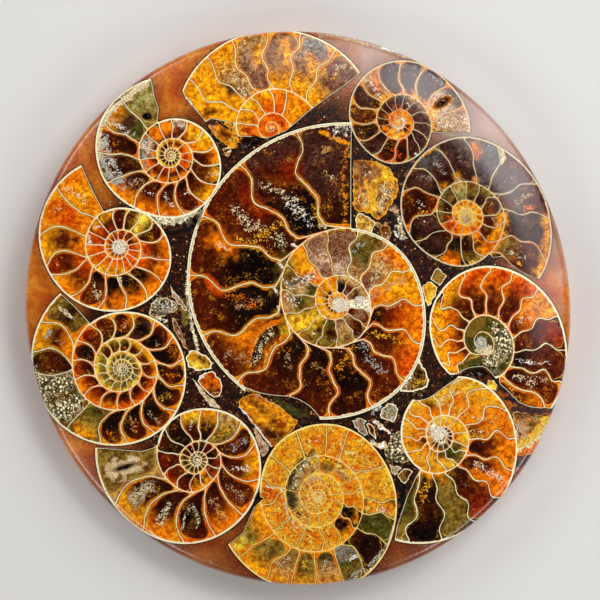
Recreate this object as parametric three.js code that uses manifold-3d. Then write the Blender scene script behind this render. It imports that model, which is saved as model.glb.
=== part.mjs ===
// Ammonite cluster plate: eleven sawn ammonite halves and the chips between them, set in a
// disc of stone-like matrix and ground down together to one polished, gently domed face.
// Millimetres, +Z up. The polished face looks up, the flat back lies on Z = 0, and the
// origin is the middle of the back.
import * as THREE from 'three';
import { mergeVertices } from 'three/addons/utils/BufferGeometryUtils.js';
import Module from 'manifold-3d';

// ---------------------------------------------------------------- driving dimensions

const PLATE = {
  radius: 75, // mean radius of the disc
  oval: 0.95, // how much the long radius is over the mean, and the short one under it
  longAxis: 116, // degrees from +X to the long diameter
  thickness: 16, // at the middle
  fall: 1.2, // even fall of the face from the middle to the rim
  shoulderFall: 5, // further fall that gathers towards the rim
  shoulderPower: 5, // how late it gathers
  rimRound: 2.2, // radius between face and side
  footBevel: 1.2, // bevel round the back
};
const GAP = 0.3; // glue line between a fossil and the matrix or its neighbour

const SIDES = 60; // facets round the plate
const FACE_RINGS = [0.42, 0.68, 0.85]; // parts of the radius
const RIM_STEPS = 2;
const WALL_STEP = 10; // degrees between points along a shell's outer wall
const EIGHTH = 45; // degrees between the measured radii of a shell
const WHORL = 8; // measured radii in one whorl
const VUG_SIDES = 12;
const VUG_RINGS = 6;
const ABOVE = 20; // level above everything, where cutters end
const LONGEST_CORNER = 1.5; // how far a grown corner may reach, in glue lines
const SHARPEST_CORNER = 0.1; // keeps a knife-edge corner from dividing by nothing
const WELD = 1e-4; // points closer than this are one

// How deep the pieces reach below the face, and how their hidden undersides draw in.
const LARGE_DEPTH = 10;
const SHELL_DEPTH = 8.5;
const CHIP_DEPTH = 3.5;
const TAPER_START = 8.5; // level under which an ammonite's sides draw in
const TAPER = 0.15; // share of the width lost at the deepest point

// Each ammonite is sawn through its coil. `at` is the middle of the coil and `mouth` the
// direction of the outer corner of its mouth. `wall` holds the outer wall's radius at every
// eighth of a turn back from there; further in, each whorl is 1/growth of the one before.
// The wall is followed for `turn` degrees, and `lip` is the broken edge of the mouth, from
// the inner whorl out. `chips` are bites broken out of the outline.
const AMMONITES = {
  large_ammonite: {
    at: [10.3, 1.4], mouth: 85, growth: 2.7, turn: 353, depth: LARGE_DEPTH, colour: 0x6b2408,
    wall: [49.2, 45.9, 40.4, 34.8, 31.8, 29, 24.4, 22.5, 20.3],
    lip: [[14.4, 21.7], [14.4, 40]],
    chips: [[[-14.9, -21.2], [-9.8, -23.4], [-0.8, -24.2], [3.3, -26.6], [6.5, -30.4],
      [3.8, -32.6], [-4.9, -29.9], [-13, -25.5]]],
  },
  top_right_ammonite: {
    at: [27.4, 50.6], mouth: -8, growth: 2.2, turn: 351, depth: SHELL_DEPTH, colour: 0x4a2a20,
    wall: [19.7, 17.6, 17.1, 15.7, 13.7, 12, 11.6, 10.4, 9],
    lip: [[36.5, 47.8], [43.5, 47.6]],
    chips: [],
  },
  right_ammonite: {
    at: [49.7, -9.4], mouth: -42.6, growth: 2.6, turn: 340, depth: SHELL_DEPTH, colour: 0x9a3d0c,
    wall: [26.6, 23.4, 21.8, 20.6, 17, 13.3, 12.1, 11, 10.2],
    lip: [[54.9, -20.7], [56.8, -22.3], [60.3, -25.8], [63, -26.9], [66, -27.3]],
    chips: [[[38.9, -15.4], [41, -18.2], [42.9, -18.1], [46.2, -16.2], [50.5, -15.8],
      [52.4, -17.4], [54.1, -19.6], [54.9, -21.1], [52.2, -23.9], [42.7, -23.4], [37.5, -19]]],
  },
  upper_right_ammonite: {
    at: [45.4, 25.2], mouth: -40.4, growth: 2.2, turn: 343, depth: SHELL_DEPTH, colour: 0x46281e,
    wall: [26.7, 23, 21.1, 21.4, 19.4, 17.1, 14.7, 13.8, 11.6],
    lip: [[52.9, 13.7], [55.7, 14], [57.6, 12.1], [60.3, 10.2], [62.8, 8.8]],
    chips: [],
  },
  lower_right_ammonite: {
    at: [38.9, -34.5], mouth: -113.5, growth: 2.3, turn: 353, depth: SHELL_DEPTH, colour: 0xb0560e,
    wall: [31.4, 26.7, 22.2, 19.4, 17.2, 13.3, 11.4, 10.9, 10.9],
    lip: [[32.1, -45.9], [29.6, -51.4], [26.9, -59.8]],
    chips: [[[29.1, -22.8], [31, -24.9], [33.2, -25.1], [36.1, -24.2], [40.5, -20.8],
      [44, -18.6], [41.3, -16.3], [34.5, -17.4]]],
  },
  bottom_ammonite: {
    at: [5.4, -51.2], mouth: -151.6, growth: 1.8, turn: 334, depth: SHELL_DEPTH, colour: 0xd98a12,
    wall: [27.8, 26.9, 25.7, 22.2, 20.4, 20.2, 18.5, 16.2, 15.4],
    lip: [[-9.2, -51.6], [-12, -54.3], [-13.6, -57.9], [-14.9, -61.1]],
    chips: [],
  },
  bottom_left_ammonite: {
    at: [-27.4, -41.3], mouth: 173.3, growth: 2.3, turn: 344, depth: SHELL_DEPTH, colour: 0x6e3a12,
    wall: [28, 25.6, 23.2, 20, 17.5, 16.2, 14.2, 12.9, 11],
    lip: [[-38, -37], [-39.4, -38], [-42.4, -39]],
    chips: [],
  },
  lower_left_ammonite: {
    at: [-47.8, -16.5], mouth: 129.5, growth: 1.8, turn: 356, depth: SHELL_DEPTH, colour: 0x5c2c10,
    wall: [26.6, 25.2, 23.1, 21.1, 19.5, 17.5, 16.6, 15.6, 15],
    lip: [[-56.5, -4.3], [-60.3, 0]],
    chips: [],
  },
  left_ammonite: {
    at: [-48.6, 16.5], mouth: 115, growth: 2.36, turn: 358, depth: SHELL_DEPTH, colour: 0xd2580a,
    wall: [24.8, 23.1, 20.2, 18.1, 16.6, 14.9, 12.7, 11.1, 10.5],
    lip: [[-53, 26.5], [-56.2, 32.5]],
    chips: [],
  },
  upper_left_ammonite: {
    at: [-34.5, 41.5], mouth: 105, growth: 2.2, turn: 366, depth: SHELL_DEPTH, colour: 0x8a4c12,
    wall: [21.8, 21.7, 19.8, 17.4, 16.9, 15, 12.4, 10.7, 9.8],
    lip: [[-38.3, 50.8], [-38, 54.6], [-39.1, 57.3]],
    chips: [],
  },
  // Sawn off below the middle of its coil, so its broken edge runs right along the bottom.
  top_ammonite: {
    at: [-7.3, 49], mouth: 32.1, growth: 2.65, turn: 126, depth: SHELL_DEPTH, colour: 0xb5640f,
    wall: [28.5, 27.3, 26.5, 26, 23.5, 21, 18.5, 15, 12.1],
    lip: [[-30.7, 57.2], [-26.2, 52], [-25.1, 50.5], [-23.6, 51.5], [-17.7, 50.3],
      [-16.2, 46.6], [-13.3, 46.6], [-8.3, 46.1], [-3.3, 48.1], [3.3, 53.8], [13.7, 61.4]],
    chips: [],
  },
};

// Loose chips of shell, calcite and stone that fill the gaps between the coils.
const CHIPS = {
  amber_block: { colour: 0xd08a1c, outline: [[14.9, 40.2], [18.5, 40.2], [21.7, 39.8],
    [25, 37.8], [27.6, 33.2], [26.9, 30.7], [23.6, 25.3], [21.7, 23.6], [19.6, 25.7],
    [14.9, 26.6]] },
  tan_block: { colour: 0xd9a860, outline: [[16, 25.8], [19, 25], [21.2, 23.1], [19.8, 20.1],
    [15.8, 20.9]] },
  brown_chip: { colour: 0x8a4a16, outline: [[22.3, 22.3], [25, 22.3], [25.3, 20.1],
    [24.5, 17.7], [22.6, 19]] },
  cream_lump: { colour: 0xd8cfae, outline: [[26.9, 24.7], [27.7, 25.5], [28.4, 22.3],
    [29.1, 19.6], [29.9, 18.8], [28.3, 18.9], [27.2, 20.7]] },
  olive_square: { colour: 0x7d5a18, outline: [[37.8, 11], [40.5, 8.7], [38.6, 6], [35.9, 7.9]] },
  yellow_chip: { colour: 0xe0b51e, outline: [[35.7, 7.5], [38, 5.7], [36.1, 0.8], [35.2, 0.5],
    [33.6, 5.7]] },
  amber_chip: { colour: 0xd8a020, outline: [[-29.3, -11.4], [-27.2, -11.7], [-25, -12.9],
    [-23.5, -14.4], [-23.4, -16.3], [-25, -16.8], [-28, -17], [-29.9, -16], [-30.3, -13.6]] },
  orange_chip: { colour: 0xd4530c, outline: [[-25.5, -17.4], [-22.6, -17.4], [-21.2, -19.6],
    [-20.5, -21.2], [-21.2, -23.9], [-23.1, -24.2], [-25.3, -22.3], [-27.4, -19.6]] },
  white_sliver: { colour: 0xd9c9a4, outline: [[-28.8, -19], [-27.7, -20], [-24.5, -23.8],
    [-22.3, -25.3], [-21.1, -27.2], [-23.4, -27], [-25.5, -24.6], [-27.4, -21.7]] },
  grey_lump: { colour: 0x9a9482, outline: [[-40.2, 0.5], [-38.6, 2.6], [-35.9, 3],
    [-32.6, 1.2], [-33, -0.8], [-36.7, -2.3], [-38.9, -2.9], [-40.4, -1.4]] },
  pale_sliver: { colour: 0x8d5a3c, outline: [[-34.2, -2.4], [-33.2, -3.3], [-31.8, -6],
    [-30.4, -10.1], [-30.2, -11.1], [-31, -10.9], [-32.6, -7.9], [-34, -5.2]] },
  thin_sliver: { colour: 0xa88a70, outline: [[-34.8, 6.5], [-33.4, 4.3], [-31.2, 1.6],
    [-29.9, -0.8], [-30.7, -0.8], [-32.6, 1.1], [-34.5, 3.8]] },
  amber_wedge: { colour: 0xa4510f, outline: [[-15.9, -25], [-12.2, -23], [-9.8, -23.9],
    [-4.6, -26.9], [-2.2, -29.1], [0.1, -30.7], [-1.6, -33.7], [-3.8, -35.1], [-6.2, -37.6],
    [-7.3, -37.8], [-10.9, -33.2], [-13.9, -29.3], [-16.3, -26.9]] },
  pink_sliver: { colour: 0xc9946c, outline: [[-12.2, -31.7], [-10.9, -33.7], [-8.2, -37.5],
    [-7.6, -38.3], [-9.8, -40.8], [-10.7, -37.5], [-11.7, -34]] },
  quarter_chip: { colour: 0x9a6a1a, outline: [[27.2, -22.7], [30.4, -22.8], [33.2, -22.3],
    [35.3, -21.3], [35.6, -18.9], [34.2, -16.6], [33, -13.9], [32.2, -14.4], [28.8, -20]] },
  striped_block: { colour: 0xb9bd94, outline: [[22.6, -27.4], [24.5, -25.7], [26.6, -26.5],
    [27.2, -28], [26.2, -31], [23.9, -30.4], [22.3, -29.6]] },
  white_splinter: { colour: 0xe6e2d2, outline: [[20.1, -30.6], [21.2, -30.3], [23.4, -31.9],
    [25.4, -34.2], [24.5, -34.1], [21.7, -32.5]] },
  grey_chip: { colour: 0xa99a8c, outline: [[14.7, -30.7], [17.1, -29.8], [18.6, -30.8],
    [17.7, -31.7], [19, -34], [18.2, -34.8], [16, -32.9]] },
  rust_chip: { colour: 0x8a4210, outline: [[19.2, -31], [20.7, -32.3], [21.2, -35.6],
    [20.1, -34.8], [18.3, -31.8]] },
  cream_chip: { colour: 0xdccfb0, outline: [[20.4, -37], [22, -36.4], [23.6, -36.3],
    [23.9, -37.8], [22.6, -38.6]] },
  speckled_block: { colour: 0xa8946c, outline: [[25.3, -34], [27.7, -33.3], [27.9, -35.9],
    [28.8, -39.1], [30.4, -41.4], [29.1, -42.3], [25.5, -41.7], [23.5, -39.9],
    [23.5, -38.3], [25, -36.1]] },
  blue_grey_lump: { colour: 0xa3a6aa, outline: [[24.5, -42.4], [26.1, -42.7], [28.3, -43.2],
    [27.2, -44.6], [26.4, -45.9], [25.3, -44.8]] },
  brown_oval: { colour: 0x6d4a24, outline: [[28.8, -43.5], [31, -44.2], [30.4, -45.9],
    [29.1, -47.8], [27.7, -46.9], [27, -45.1]] },
  rim_shell: { colour: 0xb49a58, outline: [[58.2, -28.3], [62, -28.3], [63.9, -29.9],
    [66.6, -28.8], [70.1, -28.5], [70.1, -33.7], [67.1, -37.5], [63.9, -39.9],
    [59.8, -40.4], [59.9, -35.9], [59.1, -31.5]] },
  yellow_nub: { colour: 0xe0c04a, outline: [[52, -19.6], [53, -19.4], [54.1, -20.8],
    [54.1, -22.6], [52.4, -22.1], [51.2, -21.1]] },
  orange_lump: { colour: 0xc8661a, outline: [[-24.5, 50], [-22.3, 50.5], [-19.6, 49.9],
    [-17.4, 47], [-16.7, 43.5], [-18.2, 43.5], [-20.1, 44.6], [-21.5, 45.8], [-23.6, 47.6]] },
  pale_chip: { colour: 0xe0b48c, outline: [[-20.5, 43.6], [-19, 43.8], [-17.9, 43],
    [-18.2, 41.8], [-19, 41], [-19.8, 41.3], [-20.4, 42.4]] },
};

// Open pits in the matrix, where the ground face broke into a hollow between the coils.
const PIT_DEPTH = 2.5;
const PITS = {
  top: [[-16, 46.1], [-13, 46.1], [-12.2, 47.3], [-8.7, 45.7], [-12, 44], [-14.9, 42.1]],
  left: [[-24.9, 28.3], [-25.8, 26.1], [-26.8, 22.3], [-29.9, 21.5], [-31, 23.6],
    [-28.8, 24.2], [-26.6, 25.8]],
  right: [[43.8, -18.3], [45.9, -16.7], [50.5, -16.3], [52.4, -17.9], [53.5, -19.3],
    [51.6, -18.6], [49.5, -19.7], [45.7, -18.6]],
  bottom: [[-10.7, -49.5], [-9.5, -51.1], [-11.1, -52.6], [-12.4, -52.4], [-11.5, -50.5]],
};

// Crystal hollows left in three chambers, each half of an ellipsoid: its middle, half its
// length and width, the direction of its length in degrees, and its depth.
const VUGS = {
  top_right_ammonite: [{ at: [39.2, 55.9], long: 2.8, short: 1.1, turn: 32, depth: 2.2 }],
  bottom_left_ammonite: [{ at: [-47.4, -43.4], long: 3.8, short: 1, turn: 17, depth: 2.2 }],
  upper_left_ammonite: [{ at: [-41.2, 52.2], long: 1.5, short: 1.1, turn: 0, depth: 1.8 }],
};

const MATRIX_COLOUR = 0x7a3512;
const POLISH_ROUGHNESS = 0.22;

// ---------------------------------------------------------------- plate form

function plateRadius(angle) {
  const fromLong = angle - THREE.MathUtils.degToRad(PLATE.longAxis);
  return PLATE.radius + PLATE.oval * Math.cos(2 * fromLong);
}

// Height of the polished face at a part u of the radius, before the rim rounds over.
function faceHeight(u) {
  const even = PLATE.fall * u * u;
  const gathered = PLATE.shoulderFall * u ** PLATE.shoulderPower;
  return PLATE.thickness - even - gathered;
}

function faceSlope(u) {
  const even = 2 * PLATE.fall * u;
  const gathered = PLATE.shoulderFall * PLATE.shoulderPower * u ** (PLATE.shoulderPower - 1);
  return Math.atan((even + gathered) / PLATE.radius);
}

function faceHeightAt([x, y]) {
  return faceHeight(Math.hypot(x, y) / plateRadius(Math.atan2(y, x)));
}

// Half section from the middle of the back, round the rim, to the middle of the face.
function plateProfile() {
  const { radius, rimRound, footBevel } = PLATE;
  const lean = faceSlope(1 - rimRound / radius);
  const rimStart = radius - rimRound * (1 - Math.sin(lean));
  const centreR = rimStart - rimRound * Math.sin(lean);
  const centreZ = faceHeight(rimStart / radius) - rimRound * Math.cos(lean);
  const points = [new THREE.Vector2(0, 0)];
  points.push(new THREE.Vector2(radius - footBevel, 0));
  points.push(new THREE.Vector2(radius, footBevel));
  for (let i = 0; i <= RIM_STEPS; i += 1) {
    const turn = THREE.MathUtils.lerp(Math.PI / 2, lean, i / RIM_STEPS);
    const r = centreR + rimRound * Math.sin(turn);
    const z = centreZ + rimRound * Math.cos(turn);
    points.push(new THREE.Vector2(r, z));
  }
  for (const u of [...FACE_RINGS].reverse()) {
    points.push(new THREE.Vector2(u * radius, faceHeight(u)));
  }
  points.push(new THREE.Vector2(0, PLATE.thickness));
  return points;
}

function plateGeometry() {
  const geometry = new THREE.LatheGeometry(plateProfile(), SIDES);
  geometry.rotateX(Math.PI / 2);
  const position = geometry.getAttribute('position');
  for (let i = 0; i < position.count; i += 1) {
    const angle = Math.atan2(position.getY(i), position.getX(i));
    const stretch = plateRadius(angle) / PLATE.radius;
    position.setXY(i, position.getX(i) * stretch, position.getY(i) * stretch);
  }
  return geometry;
}

// ---------------------------------------------------------------- shell outlines

// Logarithm of the outer wall's radius at a whole number of eighths back from the mouth.
function logRadius(shell, eighth) {
  const { wall, growth } = shell;
  if (eighth < 0) return Math.log(wall[0]);
  if (eighth < wall.length) return Math.log(wall[eighth]);
  const back = Math.ceil((eighth - wall.length + 1) / WHORL);
  return Math.log(wall[eighth - back * WHORL]) - back * Math.log(growth);
}

// The radius in between, on a smooth curve through the four nearest.
function wallRadius(shell, degrees) {
  const i = Math.floor(degrees / EIGHTH);
  const t = degrees / EIGHTH - i;
  const [a, b, c, d] = [-1, 0, 1, 2].map((step) => logRadius(shell, i + step));
  const linear = (c - a) / 2;
  const square = a - 2.5 * b + 2 * c - 0.5 * d;
  const cube = (d - a) / 2 + 1.5 * (b - c);
  return Math.exp(b + linear * t + square * t * t + cube * t ** 3);
}

function shellOutline(shell) {
  const points = [];
  for (let degrees = 0; degrees <= shell.turn; degrees += WALL_STEP) {
    const radius = wallRadius(shell, degrees);
    const angle = THREE.MathUtils.degToRad(shell.mouth + degrees);
    points.push([shell.at[0] + radius * Math.cos(angle), shell.at[1] + radius * Math.sin(angle)]);
  }
  return [...points, ...shell.lip];
}

// ---------------------------------------------------------------- outlines to solids

function turnedLeft(outline) {
  const points = outline.map(([x, y]) => new THREE.Vector2(x, y));
  return THREE.ShapeUtils.isClockWise(points) ? points.reverse() : points;
}

function middleOf(points) {
  const sum = points.reduce((total, point) => total.add(point), new THREE.Vector2());
  return sum.divideScalar(points.length);
}

// The outline moved outwards by a distance, with its corners kept from shooting out.
function grown(points, distance) {
  return points.map((point, i) => {
    const before = points[(i + points.length - 1) % points.length];
    const after = points[(i + 1) % points.length];
    const into = point.clone().sub(before).normalize();
    const out = after.clone().sub(point).normalize();
    const normal = new THREE.Vector2(into.y + out.y, -into.x - out.x).normalize();
    const open = normal.dot(new THREE.Vector2(into.y, -into.x));
    const reach = Math.min(1 / Math.max(open, SHARPEST_CORNER), LONGEST_CORNER);
    return point.clone().addScaledVector(normal, distance * reach);
  });
}

// A straight-sided block from `bottom` to above the plate.
function chipBlock(points, bottom) {
  const shape = new THREE.Shape(points);
  const depth = ABOVE - bottom;
  const geometry = new THREE.ExtrudeGeometry(shape, { depth, steps: 1, bevelEnabled: false });
  geometry.translate(0, 0, bottom);
  return geometry;
}

// The same for a whole shell, whose hidden underside draws in like the half that it is.
function shellBlock(points, bottom) {
  const shape = new THREE.Shape(points);
  const levels = [bottom, TAPER_START, ABOVE];
  const steps = levels.length - 1;
  const geometry = new THREE.ExtrudeGeometry(shape, { depth: steps, steps, bevelEnabled: false });
  const middle = middleOf(points);
  const position = geometry.getAttribute('position');
  for (let i = 0; i < position.count; i += 1) {
    const level = Math.round(position.getZ(i));
    const width = level === 0 ? 1 - TAPER : 1;
    const x = middle.x + (position.getX(i) - middle.x) * width;
    const y = middle.y + (position.getY(i) - middle.y) * width;
    position.setXYZ(i, x, y, levels[level]);
  }
  return geometry;
}

function bottomUnder(points, depth) {
  const middle = middleOf(points);
  return faceHeightAt([middle.x, middle.y]) - depth;
}

function vugGeometry(vug) {
  const geometry = new THREE.SphereGeometry(1, VUG_SIDES, VUG_RINGS);
  geometry.scale(vug.long, vug.short, vug.depth);
  geometry.rotateZ(THREE.MathUtils.degToRad(vug.turn));
  geometry.translate(vug.at[0], vug.at[1], faceHeightAt(vug.at));
  return geometry;
}

// ---------------------------------------------------------------- joining and cutting

const wasm = await Module();
wasm.setup();

function toSolid(geometry) {
  const bare = geometry.clone();
  bare.deleteAttribute('normal');
  bare.deleteAttribute('uv');
  const merged = mergeVertices(bare, WELD);
  const corners = merged.index.array;
  const triangles = [];
  for (let i = 0; i < corners.length; i += 3) {
    const [a, b, c] = [corners[i], corners[i + 1], corners[i + 2]];
    if (a !== b && b !== c && c !== a) triangles.push(a, b, c);
  }
  return new wasm.Manifold(new wasm.Mesh({
    numProp: 3,
    vertProperties: new Float32Array(merged.getAttribute('position').array),
    triVerts: new Uint32Array(triangles),
  }));
}

function toMesh(name, solid, colour) {
  const { vertProperties, triVerts } = solid.getMesh();
  const geometry = new THREE.BufferGeometry();
  geometry.setAttribute('position', new THREE.BufferAttribute(vertProperties, 3));
  geometry.setIndex(new THREE.BufferAttribute(triVerts, 1));
  geometry.computeVertexNormals();
  const material = new THREE.MeshStandardMaterial({
    color: colour,
    roughness: POLISH_ROUGHNESS,
    metalness: 0,
    flatShading: true,
  });
  const mesh = new THREE.Mesh(geometry, material);
  mesh.name = name;
  return mesh;
}

// ---------------------------------------------------------------- the plate

function build() {
  const plate = new THREE.Group();
  const disc = toSolid(plateGeometry());
  let matrix = disc;
  const pockets = [];

  // Sets one piece into the plate: trimmed to the ground face and side, and kept clear of
  // the pieces already set. Its pocket in the matrix is one glue line larger all round.
  function inlay(name, block, pocket, colour) {
    let piece = block.intersect(disc);
    for (const earlier of pockets) {
      piece = piece.subtract(earlier);
    }
    pockets.push(pocket);
    matrix = matrix.subtract(pocket);
    plate.add(toMesh(name, piece, colour));
  }

  for (const [name, shell] of Object.entries(AMMONITES)) {
    const points = turnedLeft(shellOutline(shell));
    const bottom = PLATE.thickness - shell.depth;
    let block = toSolid(shellBlock(points, bottom));
    let pocket = toSolid(shellBlock(grown(points, GAP), bottom - GAP));
    for (const chip of shell.chips) {
      const bite = turnedLeft(chip);
      block = block.subtract(toSolid(chipBlock(bite, 0)));
      pocket = pocket.subtract(toSolid(chipBlock(grown(bite, -GAP), 0)));
    }
    for (const vug of VUGS[name] ?? []) {
      block = block.subtract(toSolid(vugGeometry(vug)));
    }
    inlay(name, block, pocket, shell.colour);
  }
  for (const [name, chip] of Object.entries(CHIPS)) {
    const points = turnedLeft(chip.outline);
    const bottom = bottomUnder(points, CHIP_DEPTH);
    const block = toSolid(chipBlock(points, bottom));
    const pocket = toSolid(chipBlock(grown(points, GAP), bottom - GAP));
    inlay(name, block, pocket, chip.colour);
  }
  for (const outline of Object.values(PITS)) {
    const points = turnedLeft(outline);
    const pit = chipBlock(points, bottomUnder(points, PIT_DEPTH));
    matrix = matrix.subtract(toSolid(pit));
  }
  plate.add(toMesh('matrix', matrix, MATRIX_COLOUR));
  return plate;
}

export default build();
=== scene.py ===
# %% [markdown]
# # A plate of sawn ammonites
# Eleven ammonites were sawn in half, laid face down with chips of shell and calcite between
# them, flooded with a brown stone-like matrix and ground to one polished, gently domed disc.
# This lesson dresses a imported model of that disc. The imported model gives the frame: where
# things are and how big they are. Everything here is made in millimetres and scaled to
# Blender's metres at the last moment.

import math

import bpy
import numpy as np
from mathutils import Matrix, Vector, noise
from mathutils.geometry import delaunay_2d_cdt


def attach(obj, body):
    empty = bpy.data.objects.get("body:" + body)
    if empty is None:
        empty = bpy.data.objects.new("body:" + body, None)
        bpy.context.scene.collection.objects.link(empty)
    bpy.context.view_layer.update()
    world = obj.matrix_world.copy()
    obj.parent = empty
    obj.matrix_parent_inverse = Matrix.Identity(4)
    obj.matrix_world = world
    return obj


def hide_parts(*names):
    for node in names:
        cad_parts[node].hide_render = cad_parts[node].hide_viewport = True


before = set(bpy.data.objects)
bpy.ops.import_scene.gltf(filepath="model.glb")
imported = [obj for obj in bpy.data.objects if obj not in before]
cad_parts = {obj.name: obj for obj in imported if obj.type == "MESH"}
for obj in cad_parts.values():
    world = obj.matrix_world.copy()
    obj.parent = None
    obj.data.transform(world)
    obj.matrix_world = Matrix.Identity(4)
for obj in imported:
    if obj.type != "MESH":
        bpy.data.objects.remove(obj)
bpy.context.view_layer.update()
MM = 0.001

# %% [markdown]
# ## The form of the plate
# The disc is very slightly oval. Its face falls gently to the rim, gathers there, and rolls
# over into an upright side. It could be sculpted or lathed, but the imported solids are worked
# out from a few numbers, so the same numbers are used here. The dressed disc then lies on
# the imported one, a hair inside.

# %% The form of the plate
RADIUS = 75.0
OVAL = 0.95  # what the long axis adds to the radius
LONG_AXIS = 116  # degrees
THICKNESS = 16.0
FALL = 1.2  # of the dome
SHOULDER_FALL = 5.0  # what the face drops further, close to the rim
SHOULDER_POWER = 5
RIM_ROUND = 2.2
FOOT_BEVEL = 1.2
FIT = 0.9985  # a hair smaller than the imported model
RIM_STEPS = 480


def plate_radius(angle):
    """Radius of the oval disc at an angle in radians."""
    return RADIUS + OVAL * np.cos(2 * (angle - math.radians(LONG_AXIS)))


def share_of_radius(x, y):
    """How far out places are: 0 in the middle, 1 on the rim."""
    return np.hypot(x, y) / plate_radius(np.arctan2(y, x))


def face_height(share):
    """Height of the ground face at a share of the radius, before the rim rolls over."""
    return THICKNESS - FALL * share ** 2 - SHOULDER_FALL * share ** SHOULDER_POWER


def face_lean(share):
    """Slope of the face, in radians, at a share of the radius."""
    gathered = SHOULDER_FALL * SHOULDER_POWER * share ** (SHOULDER_POWER - 1)
    return math.atan((2 * FALL * share + gathered) / RADIUS)


LEAN = face_lean(1 - RIM_ROUND / RADIUS)
ROLL_START = 1 - RIM_ROUND * (1 - math.sin(LEAN)) / RADIUS
ROLL_MIDDLE = ROLL_START - RIM_ROUND * math.sin(LEAN) / RADIUS
ROLL_LEVEL = face_height(ROLL_START) - RIM_ROUND * math.cos(LEAN)


def surface_height(x, y):
    """Height of the finished surface over points of the plan."""
    share = share_of_radius(x, y)
    over = np.clip((share - ROLL_MIDDLE) * RADIUS, 0, RIM_ROUND)
    rolled = ROLL_LEVEL + np.sqrt(RIM_ROUND ** 2 - over ** 2)
    return np.where(share < ROLL_START, face_height(share), rolled)


def rim_ring(share):
    """Points round the disc at a share of its radius."""
    angle = np.linspace(0, 2 * math.pi, RIM_STEPS, endpoint=False)
    radius = plate_radius(angle) * share
    return np.column_stack([radius * np.cos(angle), radius * np.sin(angle)])


print("side is upright up to", round(ROLL_LEVEL, 2), "mm")

# %% [markdown]
# ## The coils
# An ammonite grows by a steady factor each turn, so its outer wall is almost a logarithmic
# spiral, and one formula could draw it. But each real shell wanders from the formula, and
# that is what makes it look grown. So `wall` holds the wall's radius at every eighth of a
# turn back from the mouth, for two whorls, and only further in is each whorl the one before
# divided by `growth`. `turn` says how many degrees of wall are left, `lip` is where the
# mouth broke off, and `bites` are places where a neighbour or the matrix cuts in.

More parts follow.
